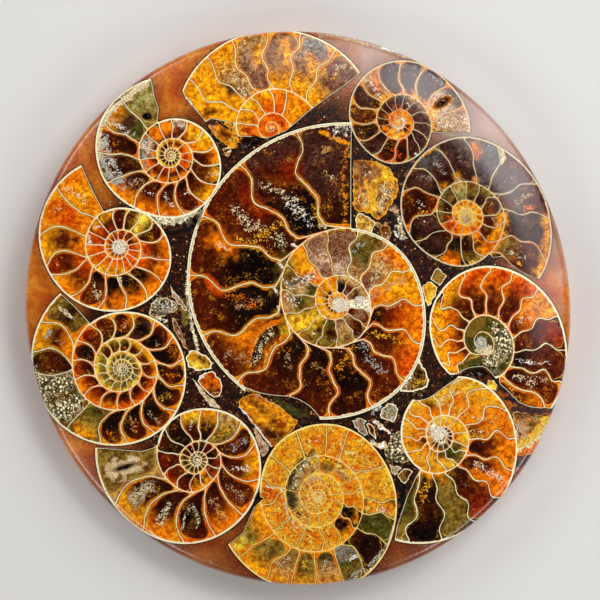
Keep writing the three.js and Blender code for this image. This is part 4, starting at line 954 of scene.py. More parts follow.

# In the matrix rows, the pale streaks along the rim at the upper right, from 6,74.6 round to 71,23, are a
# painted sheen on the sloping shoulder.
STREAKS = {
    "matrix": """
    e 1 1.3 -40,25.8 -36.4,24 -32,24 -27.7,26.4
    k 0 .7 -38,21 -34,20.4 -29.6,21.4 -26.2,24.6
    e 1 .5 -29.9,10.5 -30,2.5 -28.9,-5 -27,-11.2
    v .3 1.2 -31.4,2 -30.4,-4
    e 1 .5 -39.6,-2 -36,-3.4
    b 1 .6 20.2,-28.3 22.4,-26.9
    e 1 .6 19.5,-36 20.8,-36.6
    m .4 1.5 -6,-25.7 1,-28.8
    n 1 .5 -15,-22 -10.5,-22.6
    a .5 1.2 -19,50 -17.4,48.6 -16.6,46
    n .5 .7 21.3,22.8 24,22.6
    p .3 .7 25.3,27 27,26.3
    k 0 .8 26.5,28.9 27.4,28.5
    k 0 .8 24.5,24.5 26.6,24.2
    w .6 .4 26.2,21 27,19.2
    b 1 .7 28.4,25 27.4,22 28.2,19
    p .05 .5 6,74.6 14,73.4 24,70.6 30,68.4
    w .4 .35 22,71.2 27,69.8
    p .4 .3 33,67.2 40,63.4 47,58.2
    w .4 .25 60,44.6 66,34.6 71,23
    k 0 1.8 54,-19 58,-23.4 62,-26.4
    k 0 2 29.5,-44 28.6,-50 28.2,-57
    l 0 1.6 59,-27.6 64,-28 70,-27.6
    l 0 2 60,-42.5 66,-40 70.5,-35""",
    "amber_block": """
    d -1 2.4 16.5,38.7 19.6,36.6
    h -1 .9 23.5,38 24.4,35.5 22,34.6 20.2,31.6 20.5,28.6 19.6,26.5
    e .8 1.3 22.3,33.5 24.1,32.3 23.3,29.5 22,27.3
    h 0 .4 26.7,31.8 25.4,28 22.9,24.2
    e .6 1.1 16.6,30.6 18.4,28.4
    u 0 .25 21.7,33.9 22,31 21,28.4
    p .4 .6 23,38.9 25,38
    e .4 .3 16.9,37.2 18.4,38.2 19.4,36.8 18,35.8""",
    "brown_chip": "w .5 .5 23.4,20 25,18.4",
    "pale_chip": """
    u 0 .14 -20.4,43.3 -18,42.9
    u 0 .12 -20.4,42.6 -18.2,42.3""",
    "orange_lump": """
    p .3 1.2 -23.4,48.2 -22.4,48.6
    c -1 1.3 -21,47.6 -19,46.4
    k 0 .3 -24,50 -21,50 -18.6,48.6
    y .5 .7 -18,45 -17.2,46""",
    "amber_wedge": """
    u -1 2.2 -7.8,-34.2 -5.6,-35.2
    c -1 1.6 -12.6,-26.6 -10.4,-28
    a -1 1 -8,-25.8 -2.6,-29.6
    a -1 .8 -14.4,-25.8 -9,-30.4
    w .05 .55 -16,-27.2 -12.4,-31.3 -7.4,-37.4
    p .5 .7 -13,-23.4 -9.2,-24.6 -4.6,-26.8
    y 0 .14 -10.8,-26 -8.4,-27 -6,-28.9
    y 0 .12 -7.6,-33.6 -5.2,-30.8
    y .4 .5 -1.6,-30.4 -3,-33.6""",
    "amber_chip": """
    y -1 1.2 -29.2,-14.4 -26,-16.4
    u -1 .9 -26.8,-13.4 -25,-14.4
    e .4 .4 -29.6,-12 -27,-12.4""",
    "orange_chip": """
    w .1 .7 -25.4,-17.6 -26.8,-19.4
    c -1 1 -24,-22.4 -22,-23.2
    e .5 .4 -23.4,-23.8 -21.4,-22.6""",
    "white_sliver": "u .3 .4 -26,-22 -24,-24.6",
    "quarter_chip": """
    w 1 .8 29.6,-21.6 31,-18
    h .4 1 31.4,-20.6 34.4,-20
    k -1 1 32.6,-17.6 34.4,-17.8""",
    "striped_block": """
    b 0 .3 22.5,-26.8 22.5,-30.2
    v 0 .28 23.4,-26 23.6,-30.6
    e 0 .14 24.1,-25.6 24.2,-30.8
    i .5 .8 25.6,-27 26.2,-28.6""",
    "grey_lump": """
    w .6 1 -38.6,1.4 -35,.4
    k 0 .6 -37.6,-1.6 -35,-1.8
    w .2 .3 -36,2.6 -33.4,.4""",
    "rim_shell": """
    l -1 1 60,-29 65,-29 69,-28.6
    p 0 1.5 60.6,-32 61.6,-35
    o -1 1.4 69.4,-30 67.2,-35 64.2,-37.8 60.4,-39.8
    y 0 1.3 67.6,-30.4 66,-33.4 63.2,-36.2 60.6,-37.8
    e 0 .4 68.4,-31.4 66.4,-34.8 63.6,-37.2 60.2,-38.8""",
    "large_ammonite": """
    e .7 1.1 -9.5,33.4 -2.2,29.9 1.6,25
    w .6 1.4 -2.2,28 3,23.5
    r -1 2.4 -1,38.6 -4,35.5
    c -1 3.5 -9,36 -6,34
    a .4 .8 14,43 12,36 13.2,28 12.4,21
    a 0 .9 6.8,47.7 13.6,44.6
    w 1 1.5 10.8,48.4 13.6,48.6
    e .5 .5 7,37 9.5,35
    h .5 1 4.6,27 6.6,22
    l -1 3 2,44 5,40
    e .5 1.5 -17,27 -13.6,22.6 -8,21.2 -4.2,17.8
    h .5 1.3 -12,19 -5,22
    r -1 1.6 -14,30.5 -10,26.5
    y .5 1 -16,18.4 -9,16
    o -1 2 -22.4,18.5 -19,16.5
    e .4 .5 -21.5,17.6 -19,15.6
    p .6 1.1 -16,.2 -11,1.8
    o .4 1.4 -22,6 -12,.5
    k -1 2.6 -11.6,-13.4 -9.6,-8.6 -6.4,-6
    y 0 .3 -13,-16 -12.4,-11.4 -10.6,-6.8 -6.6,-4.4
    y 0 .2 -9.4,-16 -8.2,-11.6 -4.6,-8
    o .1 .8 -13.4,-14 -12,-8 -9,-5 -5,-3.4
    o .1 .7 -8.4,-15.6 -6.8,-11.6 -3.6,-8
    e .4 .9 -11.4,-14 -9.8,-9.4 -7.2,-6.6
    p .5 1.1 -19,-12.4 -14,-14
    p .6 1 -3.4,-13.4 -2,-16
    n .5 1 4.4,-15.6 8,-17.6
    e .4 .4 1,-21.6 2.4,-21
    b .5 1.2 17,-8.6 19,-14 23,-17.4
    a .4 1 11,-16.6 14.6,-11
    h .4 .9 21,-6.6 29,-10
    o -1 3 33,0 32,-8
    p .5 1.2 24,.4 28,1.8
    p .5 1.2 20,3 24,6 28,7.4
    e .6 .7 19,4 23,12.6
    w 0 .4 6,22.6 7.6,22
    w 0 .4 -1.8,17.4 -.2,16.6
    w 0 .4 -5.2,12.2 -4.2,11
    w 0 .4 -6.4,5.4 -5.8,4.4
    w 0 .35 -5.6,.8 -5,-.6
    w .2 .4 6.9,-2.6 7.1,-2.6
    w .2 .4 9.3,-8.6 9.6,-8.8
    w .2 .35 4.2,-6.7 4.4,-6.8
    w 1 1.4 -2,6.8 4,8.6
    w .8 1.2 -3.2,3.4 -1,2
    v -1 2 -2.5,12 -3.5,7
    b .3 .7 15.3,15.8 18,17.8
    h -1 2 5,-3 -2,-4.6""",
    "top_right_ammonite": """
    w .5 .7 18.2,62.3 20.7,60.2 22,57.7
    o -1 .7 20.9,63.5 21.8,59.8
    e .5 .8 37.5,51.8 41.2,51.4
    w .5 .6 38.7,49.7 42.1,50.1
    f .5 .7 25.3,43.5 27.8,41.6
    w .2 .35 31.9,42 32.4,41.6
    a -1 .8 24.1,57.7 23.2,57
    a -1 .8 31.2,57.5 31.6,58.1
    a -1 .9 34.7,55.6 37,52.2
    w 0 .3 25.8,49.7 27,48.9 28.5,49.3 29,50.8 28.2,51.6
    o -1 1.2 25.5,51.4 26.6,52.7
    b .4 .6 32,65.6 35.4,64.4 39.1,61.4
    e .5 .8 14,58.1 14.5,61 16.1,62.5 18.2,63.9
    e .2 .4 29.7,55.6 30,55.2""",
    "upper_right_ammonite": """
    b .5 .8 36.8,40.2 39.5,37
    g .5 .6 43.6,42.5 44.5,39.8
    g .5 .7 33.8,35.5 35.4,35.2
    w .5 .6 32.7,28.7 34.3,27.5
    a .3 .8 31.3,25 35.4,26.2
    w .1 .25 34.3,23.7 34.4,23.6
    p .5 .9 59.9,29.3 63.9,31.4
    o .4 1 62.6,27.5 64.4,27.1
    e .5 .7 56.2,15.8 59.9,14.4 61.2,13.7
    h .2 .7 60.4,12.1 60.7,11.7
    a .1 .4 36.8,43.2 32.2,39.8 30,36.1
    e 0 .7 55.3,42.9 56.1,41.3 55.3,39.3
    o -1 1 48.3,44.3 48.3,42.5
    a -1 .5 48,35.1 48.3,34.6
    a -1 .5 42.9,36.4 43.6,35.7
    a -1 .5 39,33.4 39.9,33.2
    a -1 .6 56,25.3 56.9,23.5
    o .2 .8 40,15.3 40.5,12.8
    o -1 1.3 50.8,15.8 54.4,19.8
    a -1 .8 54.9,22.6 53.5,18.9
    y .4 .8 46.3,13.5 48.3,12.4
    p .5 .6 52.6,24.8 54.4,23
    f -1 1.3 41.8,22.6 43.1,22.3
    o -1 1.3 44,21.6 45.8,21 48.1,21.6
    w 0 .3 55.3,13.7 58.1,11.2 62.1,9
    h .4 .5 48.3,18.5 49.9,18
    a -1 .9 68,25 67.6,15 65.4,8.6""",
    "right_ammonite": """
    e .5 1 59.4,-18.8 61.7,-19.2 63.9,-21
    w .3 .55 59.4,-14 63.9,-14.9 68.5,-15.1
    w .5 .7 59.4,-4 62.6,-2.7
    p .5 1 62.1,-1.1 65.3,.7
    a -1 1.5 36.3,-1.5 36.8,-6.1 37.2,-10.6 39.5,-16.5
    p .4 .8 64.9,-19.2 67.6,-19.7
    g .5 .9 51.7,-16.9 55.8,-18.8
    a .5 .8 56.7,-21 60.3,-24.6 63.9,-26
    o -1 1.2 50.4,7.1 49.9,5.3
    o -1 1.2 55.1,5.7 55.8,3.9
    o -1 1.5 63.9,7.1 67.6,4.8
    v 0 .8 47.6,-5.2 48.6,-3.8 50.4,-3.4""",
    "lower_right_ammonite": """
    w .5 1 48.6,-42.4 51.3,-44.2 55.3,-46.9
    o -1 1.5 48.6,-45.1 51.3,-46.9 54,-45.6
    w .3 .45 44.9,-47.4 45.6,-48.7
    h .4 .9 34.7,-47.4 35,-52.4
    a .4 .6 33.2,-49.6 34.1,-52.8
    e .3 .7 39,-24.7 43.1,-22.9
    e .5 .5 37.7,-26.1 41.3,-26.1
    h -1 1.6 37.7,-24.3 41.3,-21.1 44.9,-19.7 49,-20.7
    a -1 1.8 29.3,-28.8 28.6,-32.4 28.8,-36.5 30.4,-41 34.5,-44.2 38.6,-44.7
    e .5 .4 46.7,-29.7 50.8,-30.2
    e .5 .4 47.2,-33.3 50.8,-33.8
    a -1 1.4 48.6,-25.6 52.2,-24.3
    o -1 2 56.7,-33.3 55.8,-40.6
    m -1 1.2 39.5,-38.8 41.3,-39.7 43.1,-38.3""",
    "bottom_ammonite": """
    n -1 1.8 2.3,-44 0,-47.5 -.6,-51.5 1,-55
    m -1 1.1 4.3,-39.6 .4,-42.4 -1.8,-45.9 -2.3,-49.5 -1.6,-53.6
    k .4 .9 4.6,-39.4 .2,-42.4 -1.8,-45.9 -2.4,-49.5 -1.6,-53.9 .2,-56.2
    e .9 .5 5,-40 1.4,-42.8 -.8,-46.2 -1.4,-48.9
    k 0 .2 7,-40.4 11.6,-42.4 13.5,-44.3
    p .3 .5 10.7,-40.9 14.4,-43.3 16.2,-46.6
    b .5 .6 2,-47.9 3.8,-46.3 6.1,-46.1
    e .3 1.4 5,-50.5 5.9,-51.4
    w .1 .7 13.9,-68.5 16.2,-67.6
    g .5 .7 11.3,-66.8 13.5,-68.1
    e .5 .8 -4.1,-69.5 -2.7,-68.6
    y .5 .9 1.8,-69 2,-70.4
    e .5 .8 7.7,-69 8,-70.8
    e .2 .35 -4.4,-51.1 -2.6,-56.6 -.3,-59.8
    e .1 .3 -8.5,-48.4 -4.4,-49.5 -3.9,-50.7
    e .2 .3 -2.6,-56.6 2.4,-60.3
    b 0 .75 27.2,-50 27,-57.2 25.4,-62.7 22.9,-67.2 19.1,-71 14.8,-73.2
    e 1 .5 27.6,-49 27.4,-57.2 25.9,-62.9 23.4,-67.4 19.5,-71.4 15,-73.8
    g 0 .8 -18.4,-65.4 -16.6,-68 -13.6,-71.6 -9.8,-74.4
    e .9 .5 -18.8,-65.6 -16.8,-68.6 -13.8,-72
    b 0 .5 -12.2,-54.6 -13.9,-58 -15.2,-61.2 -18.6,-64.2
    e .9 .4 -12.6,-54.8 -14.3,-58 -15.6,-61.4 -18.6,-64.4
    f -1 1 -8.6,-50 -6.3,-50.9
    p .2 .3 23.3,-54.8 23.9,-55.7
    k -1 .9 11.1,-58.4 12.2,-59.1
    k -1 .8 13.1,-55.4 14.5,-55.7
    e .4 .4 11.8,-36.4 12.2,-38.7 15.9,-40
    e .4 .4 16.8,-39.1 19.9,-43.2 18.1,-44.6
    e .4 .4 2.3,-36.4 5.9,-36
    o -1 1.5 7.7,-37.3 9.5,-39.1""",
    "bottom_left_ammonite": """
    n 0 2.8 -50,-44.2 -44.6,-42.6
    x 0 1.8 -49.8,-44.1 -45,-42.7
    a .2 .6 -49.6,-44.1 -45,-42.7
    d .1 2.2 -44.6,-52.1 -42.9,-50.5 -40.8,-49.2
    e .2 1.3 -44.6,-52 -42.9,-50.5 -40.6,-49
    e .2 .5 -34.8,-52.7 -36.6,-55.4 -38.9,-58.2 -37.3,-59.1 -36.1,-56.6 -34.8,-53.2
    k -1 .5 -36.7,-56.1 -37.5,-57.7
    e .2 .45 -31.6,-60 -30.7,-56.3 -28.9,-53.4 -27.1,-56.8 -27.5,-60
    v .4 1 -28.9,-55.9 -28.9,-59.5
    p .5 1 -23.5,-52.3 -21.2,-55.9 -20.3,-57.2
    h .5 .6 -21.6,-55 -20.7,-56.3
    p .5 .9 -18.9,-48.6 -15.3,-51.4
    w .5 .8 -18,-43.7 -13.5,-43.7
    b .5 .9 -18.5,-38.5 -14.4,-36.4
    h .5 1.4 -21.6,-34.1 -19.8,-32.8 -17.1,-31.4
    n .5 .8 -24.8,-30.1 -24.4,-32.3
    w .5 .5 -29.1,-30.5 -28.8,-33.2
    o .4 .5 -36.1,-40.7 -34.6,-41.4
    w .4 .5 -27.5,-39.6 -27.1,-42.8
    e .4 .5 -25.3,-41.4 -24.8,-43.2
    a .5 .6 -28,-46.8 -27.5,-48.6
    h .4 .5 -25.7,-45.9 -24.4,-47.7""",
    "lower_left_ammonite": """
    e .2 .5 -64.9,0 -63,-1.4 -61.2,-2.9
    b .1 .6 -68.9,-7.7 -67.1,-6.3
    p .4 .6 -66.2,-8.2 -63.9,-9.5
    o .5 .5 -51.5,-33.1 -51,-34.9
    p .5 .6 -45.2,-29.9 -44.7,-33.1
    o .5 .8 -44.5,-30.3 -44,-33.1
    p .3 .6 -40.6,-27.9 -39.7,-29.4 -37.9,-30.6
    h .5 .8 -37.2,-24.5 -35,-23.6
    w .4 .3 -36.1,-24 -35.8,-24.3
    o .3 .6 -35.4,-18.1 -32.7,-18.3
    p .4 .4 -38.6,-9.1 -38.1,-10
    o .5 .9 -48.1,-6.3 -47.6,-4.1 -45.4,-3.6
    p .4 .4 -47.2,-4.3 -46.7,-5.2
    p .4 .4 -51.9,-5.9 -51.4,-7
    o .5 .5 -57.8,-20.4 -56.2,-20.8
    e 1 .55 -71.4,-16 -70.3,-22.3 -67.2,-29.3 -63,-34 -56.7,-37.2
    w 0 .25 -45.5,-19.2 -45.3,-19.3
    w 0 .2 -44.3,-18.5 -44.2,-18.6
    m -1 1.6 -46.3,-17.2 -48.1,-18.6
    v -1 1.3 -48.1,-19.9 -49.5,-16.3""",
    "left_ammonite": """
    e .3 1 -62.9,32.2 -60.1,30.8 -57.9,29.4
    e .4 .5 -66,26.7 -64.7,26.9
    c -1 .9 -66.5,18.6 -60.6,18.6
    e .7 .8 -55.2,5.9 -54.3,2.3
    e 0 .4 -48.4,8.2 -48.1,5.9
    y -1 1.1 -42,24.7 -43.4,21.3
    k -1 .8 -41.3,21.7 -40.2,23.1
    w .1 .3 -57,20.8 -56.5,17.7 -57.3,17.1
    w .1 .3 -55.4,21.9 -53.8,22.2
    o -1 1.9 -49.3,1.8 -42,2.7 -37.5,7.2 -35.7,11.8
    o -1 1 -38.4,7.2 -40.2,2.7
    k -1 1 -50,5.9 -49.3,7.2
    k -1 1 -46.1,6.8 -46.6,8.2
    k -1 1 -43.4,9.1 -42,8.6
    a -1 1.2 -58.3,26.3 -56.1,24.5
    p .4 .4 -42,14.7 -40.2,14 -36.1,13.6""",
    "upper_left_ammonite": """
    w .5 .9 -50.8,51.1 -48.1,49.3 -45.4,47.5
    p .3 .9 -51.3,52 -49.5,51.5
    w .5 .9 -52.6,46 -50.9,40.8 -49,36.6
    b 0 1.8 -53.6,45 -52.2,40 -49.6,35
    e 0 1 -41.5,61.4 -47.5,56.8 -51.6,53.2 -53.7,49.8 -54.6,46 -53.8,41.6
    b 0 1 -52.4,40 -50.6,36.4 -48,33
    w .6 .6 -52.8,43 -51.4,39.4 -49.8,36.6
    p .5 .8 -48.1,33 -44.5,34.3 -42.7,35.2
    w .5 .4 -36.1,31.2 -35.4,28.4 -33.6,28
    p .4 .4 -32,30.9 -31.6,30.3
    p .5 .7 -24.1,36.6 -24.5,35.7
    e .9 .7 -23.6,46 -21.4,43.8 -20.9,40.2 -21.6,35.6
    b .5 1 -39.5,25 -35.4,24.4 -31.8,24.4 -27.7,26.2
    w .5 .5 -33.6,49.5 -30.9,50.2
    w .3 .9 -41.7,44.7 -41,42.5 -41.3,41.1
    e .5 .5 -33.6,52 -30,50.9
    h -1 1.2 -24.5,47 -28.2,47
    m -1 1 -43.1,48.4 -43.6,49.7
    o -1 1.2 -38.6,47 -35.4,48.4
    w .5 .3 -42.2,31.6 -38.6,30.7""",
    "top_ammonite": """
    a -1 1.6 3.6,67.5 4.6,64.6
    n .5 1 -5.8,72.5 -6.2,68.5 -5,65 -5.3,61.1
    a -1 1.4 -3.5,72 -3,67
    a -1 1.3 -10.7,70.5 -11.2,67
    p .5 1.4 -13.7,70 -12.2,65.5
    e .5 .8 -16.6,63.1 -14.6,58.1
    a -1 1.3 -19.1,68 -18.1,67.5
    h .5 .9 7.6,64.1 9.1,62.6
    e .6 1.1 11.5,65.5 14,66.3
    h .4 .6 3.6,56.6 4.6,56.4
    g -1 1.6 2.6,73.4 5.6,72.5
    h .4 .8 -25,64.6 -23,60.6
    y .3 .8 -8.2,48.7 -7,48.7
    f -1 1.6 -4.8,54.7 -6.2,53.2
    l -1 1.2 -19.1,60.1 -17.6,59.1
    y .5 1.2 -16,49 -14,47.6
    c -1 1 -24.6,53 -22.6,53.4""",
}


def read_streak(line):
    """A line of the table as a colour, how broken up it is, half a width and a path."""
    letter, crystal, half_width, path = line.split(maxsplit=3)
    return letter, float(crystal), float(half_width), path_of(path)


for name, text in STREAKS.items():
    STREAKS[name] = [read_streak(line) for line in text.split("\n") if line]
print(len(SPOTS), "spots,", sum(len(streaks) for streaks in STREAKS.values()), "streaks")

# %% [markdown]
# A streak fades away from its path, and noise makes it wider and narrower along the way, so
# that it looks grown and not brushed on.

# %% Laying spots and streaks
STREAK_REACH = 2.5  # half widths, past which a streak has faded out


def line_cover(x, y, half_width, path):
    """How much a streak along a path covers each place."""
    cover = np.zeros(x.shape)
    ends = np.array(path)
    low = ends.min(axis=0) - STREAK_REACH * half_width
    high = ends.max(axis=0) + STREAK_REACH * half_width
    close = (x > low[0]) & (x < high[0]) & (y > low[1]) & (y < high[1])
    if close.any():
        x, y = x[close], y[close]
        near = line_distance(path, x, y, closed=False)
        uneven = np.clip(1 + 1.1 * rough(x, y, 1.6, 23), 0.4, 2)
        cover[close] = np.exp(-(near / half_width / uneven) ** 2)
    return cover


def spot_cover(x, y, at_x, at_y, half_x, half_y, turn):
    """How much an ellipse covers each place."""
    cos = math.cos(math.radians(turn))
    sin = math.sin(math.radians(turn))
    along = ((x - at_x) * cos + (y - at_y) * sin) / half_x
    across = ((y - at_y) * cos - (x - at_x) * sin) / half_y
    return np.clip(1.3 - along ** 2 - across ** 2, 0, 1)


def lay_spots(marks, corner, name):
    """Lays the spots and streaks of the plan over the attributes of a piece."""
    x, y = corner[..., 0], corner[..., 1]
    for letter, crystal, half_width, path in STREAKS.get(name, []):
        lay_mark(marks, line_cover(x, y, half_width, path), letter, crystal)
    for *ellipse, letter, crystal in SPOTS:
        cover = spot_cover(x, y, *ellipse)
        if cover.max() > 0:
            lay_mark(marks, cover, letter, crystal)
    return marks


print("a streak of half width 1 reaches", STREAK_REACH, "mm")

# %% [markdown]
# ## From net to pieces
# Each real piece is a thick slab, not a sheet, and it has to be a closed solid. A piece is
# its share of the net lifted to the face, a skirt round its boundary and a flat underside.
# Solidify could thicken it too, but it would not end every piece at its own level. The
# boundary is found from the net: an edge that only one triangle has is on it.

# %% The boundary of a piece
def lifted(index, level):
    """Metres, for points of the plan at given heights."""
    return np.column_stack([plan[index] * FIT, level * FIT]) * MM


def boundary_of(triangles):
    """Directed edges that only one triangle has, with the triangle and corner they start at."""
    starts = triangles.ravel()
    ends = np.roll(triangles, -1, axis=1).ravel()
    key = starts.astype(np.int64) * len(plan) + ends
    twin = ends.astype(np.int64) * len(plan) + starts
    alone = np.flatnonzero(~np.isin(key, twin))
    return starts[alone], ends[alone], alone


def loops_of(starts, ends):
    """The boundary edges joined into closed loops of points."""
    follows = {}
    for start, end in zip(starts, ends):
        follows.setdefault(start, []).append(end)
    loops = []
    while follows:
        first = next(iter(follows))
        loop = [first]
        while True:
            nexts = follows[loop[-1]]
            step = nexts.pop()
            if not nexts:
                del follows[loop[-1]]
            if step == first:
                break
            loop.append(step)
        loops.append(loop)
    return loops


print("the large coil has", len(boundary_of(net[owner == 0])[0]), "boundary edges")

# %% [markdown]
# Attributes sit on the corners of faces, not on points, because two chambers that meet at a
# point tell it different things. A mesh takes one flat list of values, in the order of its
# faces: first the face of the piece, then the skirt, then the underside.

# %% From net to pieces
TRUE_EDGE = 38  # degrees; anything sharper is shaded as an edge


def make_object(name, points, faces, attributes):
    """A mesh object in metres, smooth but for its true edges, with its attributes."""
    mesh = bpy.data.meshes.new(name)
    mesh.from_pydata(points.tolist(), [], faces)
    for key, values in attributes.items():
        if values.ndim == 1:
            layer = mesh.attributes.new(key, "FLOAT", "CORNER")
            layer.data.foreach_set("value", values.astype(np.float32))
            continue
        if values.shape[1] == 3:
            values = np.column_stack([values, np.ones(len(values))])
        layer = mesh.attributes.new(key, "FLOAT_COLOR", "CORNER")
        layer.data.foreach_set("color", values.astype(np.float32).ravel())
    mesh.polygons.foreach_set("use_smooth", np.ones(len(mesh.polygons), bool))
    mesh.set_sharp_from_angle(angle=math.radians(TRUE_EDGE))
    mesh.update()
    piece = bpy.data.objects.new(name, mesh)
    bpy.context.scene.collection.objects.link(piece)
    return piece


def solid_piece(name, triangles, bottom, marks):
    """One inlaid piece as a closed solid."""
    used, local = np.unique(triangles, return_inverse=True)
    starts, ends, alone = boundary_of(triangles)
    number = {point: i for i, point in enumerate(used)}
    rim = np.unique(starts)
    below = {point: len(used) + i for i, point in enumerate(rim)}
    points = np.vstack([lifted(used, height[used]), lifted(rim, np.full(len(rim), bottom))])
    faces = local.reshape(triangles.shape).tolist()
    faces += [[below[a], below[b], number[b], number[a]] for a, b in zip(starts, ends)]
    floors = loops_of(starts, ends)
    faces += [[below[point] for point in reversed(loop)] for loop in floors]
    floor_corners = sum(len(loop) for loop in floors)
    corner_after = alone - alone % 3 + (alone + 1) % 3
    order = np.column_stack([alone, corner_after, corner_after, alone]).ravel()
    attributes = {}
    for key, values in marks.items():
        flat_values = values.reshape(-1, *values.shape[2:])
        filler = np.repeat(flat_values[:1], floor_corners, axis=0)
        attributes[key] = np.concatenate([flat_values, flat_values[order], filler])
    return make_object(name, points, faces, attributes)


pieces = {}
for index, name in enumerate(PIECES):
    mine = owner == index
    corner = plan[net[mine]]
    if name in COILS:
        marks = read_coil(COILS[name], MARKS[name], tables[name], middles[mine], corner)
        bottom = COILS[name]["bottom"]
    else:
        marks = read_chip(name, corner)
        middle = np.array(CHIPS[name]).mean(axis=0)
        bottom = float(surface_height(*middle)) - CHIP_DEPTH
    pieces[name] = solid_piece(name, net[mine], bottom, lay_spots(marks, corner, name))
print(len(pieces), "pieces,", sum(len(p.data.polygons) for p in pieces.values()), "faces")

# %% [markdown]
# ## The matrix
# The matrix is one casting. Its face is what no piece took, and under each piece it holds a
# pocket. A boolean could cut the pockets, but the net already knows where they are: where two
# neighbours of the net stand at different levels, an upright wall joins them. The casting is
# closed as well, with a bevel round its back.

# %% The matrix
TOP_LEVEL = 10 ** 6  # above every pocket; pocket levels are in thousandths of a millimetre


def matrix_levels():
    """The level of each triangle of the net: the face, or the floor of its pocket."""
    floors = {}
    for index, name in enumerate(PIECES):
        low = min(vertex.co.z for vertex in pieces[name].data.vertices)
        floors[index] = round(low / FIT / MM * 1000)
    return floors, np.array([TOP_LEVEL if owned == MATRIX else floors[owned] for owned in owner])


def matrix_marks(points):
    """Attributes of the matrix.

    `gloom` is how dark it is, between the coils; `dusk` darkens and reddens it towards the
    bottom; the sheen attribute greys it near the rim at the upper right, a painted sheen where
    the sloping shoulder catches the lamps; `shore` is the distance to the nearest piece.
    """
    x, y, z = points.T
    share = np.hypot(x, y) / RADIUS
    shore = np.min([line_distance(outline, x, y) for outline in outlines.values()], axis=0)
    blank = dict(patch=np.zeros((1, len(x), 4)), grain=np.zeros((1, len(x))))
    marks = lay_spots(blank, points[None, :, :2], "matrix")
    return dict(gloom=np.clip((0.86 - share) / 0.14 + 0.3 * rough(x, y, 6, 17), 0, 1),
                dusk=np.clip(-1.6 * y / RADIUS - 0.7 + 0.4 * rough(x, y, 9, 19), 0, 0.9),
                # painted sheen: a pale grey near the rim at the upper right
                painted_sheen=np.clip(2.4 * (x + y) / RADIUS - 2.2 + 0.5 * rough(x, y, 8, 21), 0, 0.75),
                shore=np.where(z > FOOT_BEVEL, shore, NOWHERE),
                patch=marks["patch"][0], grain=marks["grain"][0])


def matrix_piece():
    """The casting that holds all pieces, with a pocket under each."""
    floors, levels = matrix_levels()
    numbers = {}
    rows = []

    def corner_at(point, level):
        """The number of the corner over a point, at a level."""
        if (point, level) not in numbers:
            numbers[(point, level)] = len(rows)
            z = height[point] if level == TOP_LEVEL else level / 1000
            rows.append((*plan[point], z))
        return numbers[(point, level)]

    def foot_at(point, kind):
        """The number of the corner below a point, on the side or on the back."""
        if (point, kind) not in numbers:
            numbers[(point, kind)] = len(rows)
            inset = 1 - (FOOT_BEVEL / RADIUS if kind == "back" else 0)
            rows.append((*(plan[point] * inset), 0 if kind == "back" else FOOT_BEVEL))
        return numbers[(point, kind)]

    faces = []
    for triangle in net[owner == MATRIX]:
        faces.append([corner_at(point, TOP_LEVEL) for point in triangle])
    for index in range(len(PIECES)):
        starts, ends, _ = boundary_of(net[owner == index])
        for loop in loops_of(starts, ends):
            faces.append([corner_at(point, floors[index]) for point in loop])
    starts = net.ravel()
    ends = np.roll(net, -1, axis=1).ravel()
    side = {(a, b): levels[i // 3] for i, (a, b) in enumerate(zip(starts, ends))}
    back = []
    for (a, b), level in side.items():
        other = side.get((b, a))
        if other is None:
            top = [corner_at(b, level), corner_at(a, level)]
            faces.append([foot_at(a, "foot"), foot_at(b, "foot")] + top)
            faces.append([foot_at(a, "back"), foot_at(b, "back"), foot_at(b, "foot"), foot_at(a, "foot")])
            back.append((a, b))
        elif level > other:
            top = [corner_at(b, level), corner_at(a, level)]
            faces.append([corner_at(a, other), corner_at(b, other)] + top)
    for loop in loops_of(*zip(*back)):
        faces.append([foot_at(point, "back") for point in reversed(loop)])
    points = np.array(rows)
    order = np.concatenate([np.array(face) for face in faces])
    attributes = {key: values[order] for key, values in matrix_marks(points).items()}
    return make_object("matrix_stone", points * FIT * MM, faces, attributes)


pieces["matrix"] = matrix_piece()
print("matrix has", len(pieces["matrix"].data.polygons), "faces")

# %% [markdown]
# ## Mixing a stone
# An image of polished stone would repeat, and blur up close, so the stone is mixed by nodes.
# In the editor that would be a large web of nodes. In a script it can be a recipe, with a few
# helpers: `step` adds any node, and the others add the ones used most. `Amount` lets the
# number that a node gives be added and multiplied like a plain number.

# %% Mixing a stone
def plug(socket, value):
    """Feeds a socket, from another node or with a plain value."""
    value = getattr(value, "socket", value)
    if isinstance(value, bpy.types.NodeSocket):
        socket.id_data.links.new(value, socket)
    else:
        socket.default_value = value


def step(tree, kind, inputs=(), **settings):
    """Adds one node, with its settings and what goes into it."""
    node = tree.nodes.new(kind)
    for key, value in settings.items():
        setattr(node, key, value)
    for key, value in dict(inputs).items():
        plug(node.inputs[key], value)
    return node


class Amount:
    """A number that a node gives."""

    def __init__(self, socket):
        self.socket = socket

    def worked(self, operation, *values):
        """The number after one more sum."""
        inputs = dict(enumerate(values))
        return Amount(step(self.socket.id_data, "ShaderNodeMath", inputs, operation=operation).outputs[0])

    def __add__(self, other):
        return self.worked("ADD", self, other)

    def __sub__(self, other):
        return self.worked("SUBTRACT", self, other)

    def __mul__(self, other):
        return self.worked("MULTIPLY", self, other)

    def __truediv__(self, other):
        return self.worked("DIVIDE", self, other)

    def __pow__(self, other):
        return self.worked("POWER", self, other)

    def __abs__(self):
        return self.worked("ABSOLUTE", self)

    def at_least(self, other):
        """The larger of two numbers."""
        return self.worked("MAXIMUM", self, other)

    def at_most(self, other):
        """The smaller of two numbers."""
        return self.worked("MINIMUM", self, other)


def ease(value, low, high, start=0.0, end=1.0):
    """Goes smoothly from start to end as the value goes from low to high."""
    inputs = {"Value": value, "From Min": low, "From Max": high, "To Min": start, "To Max": end}
    node = step(value.socket.id_data, "ShaderNodeMapRange", inputs, interpolation_type="SMOOTHSTEP")
    return Amount(node.outputs["Result"])


print("helpers for numbers ready")

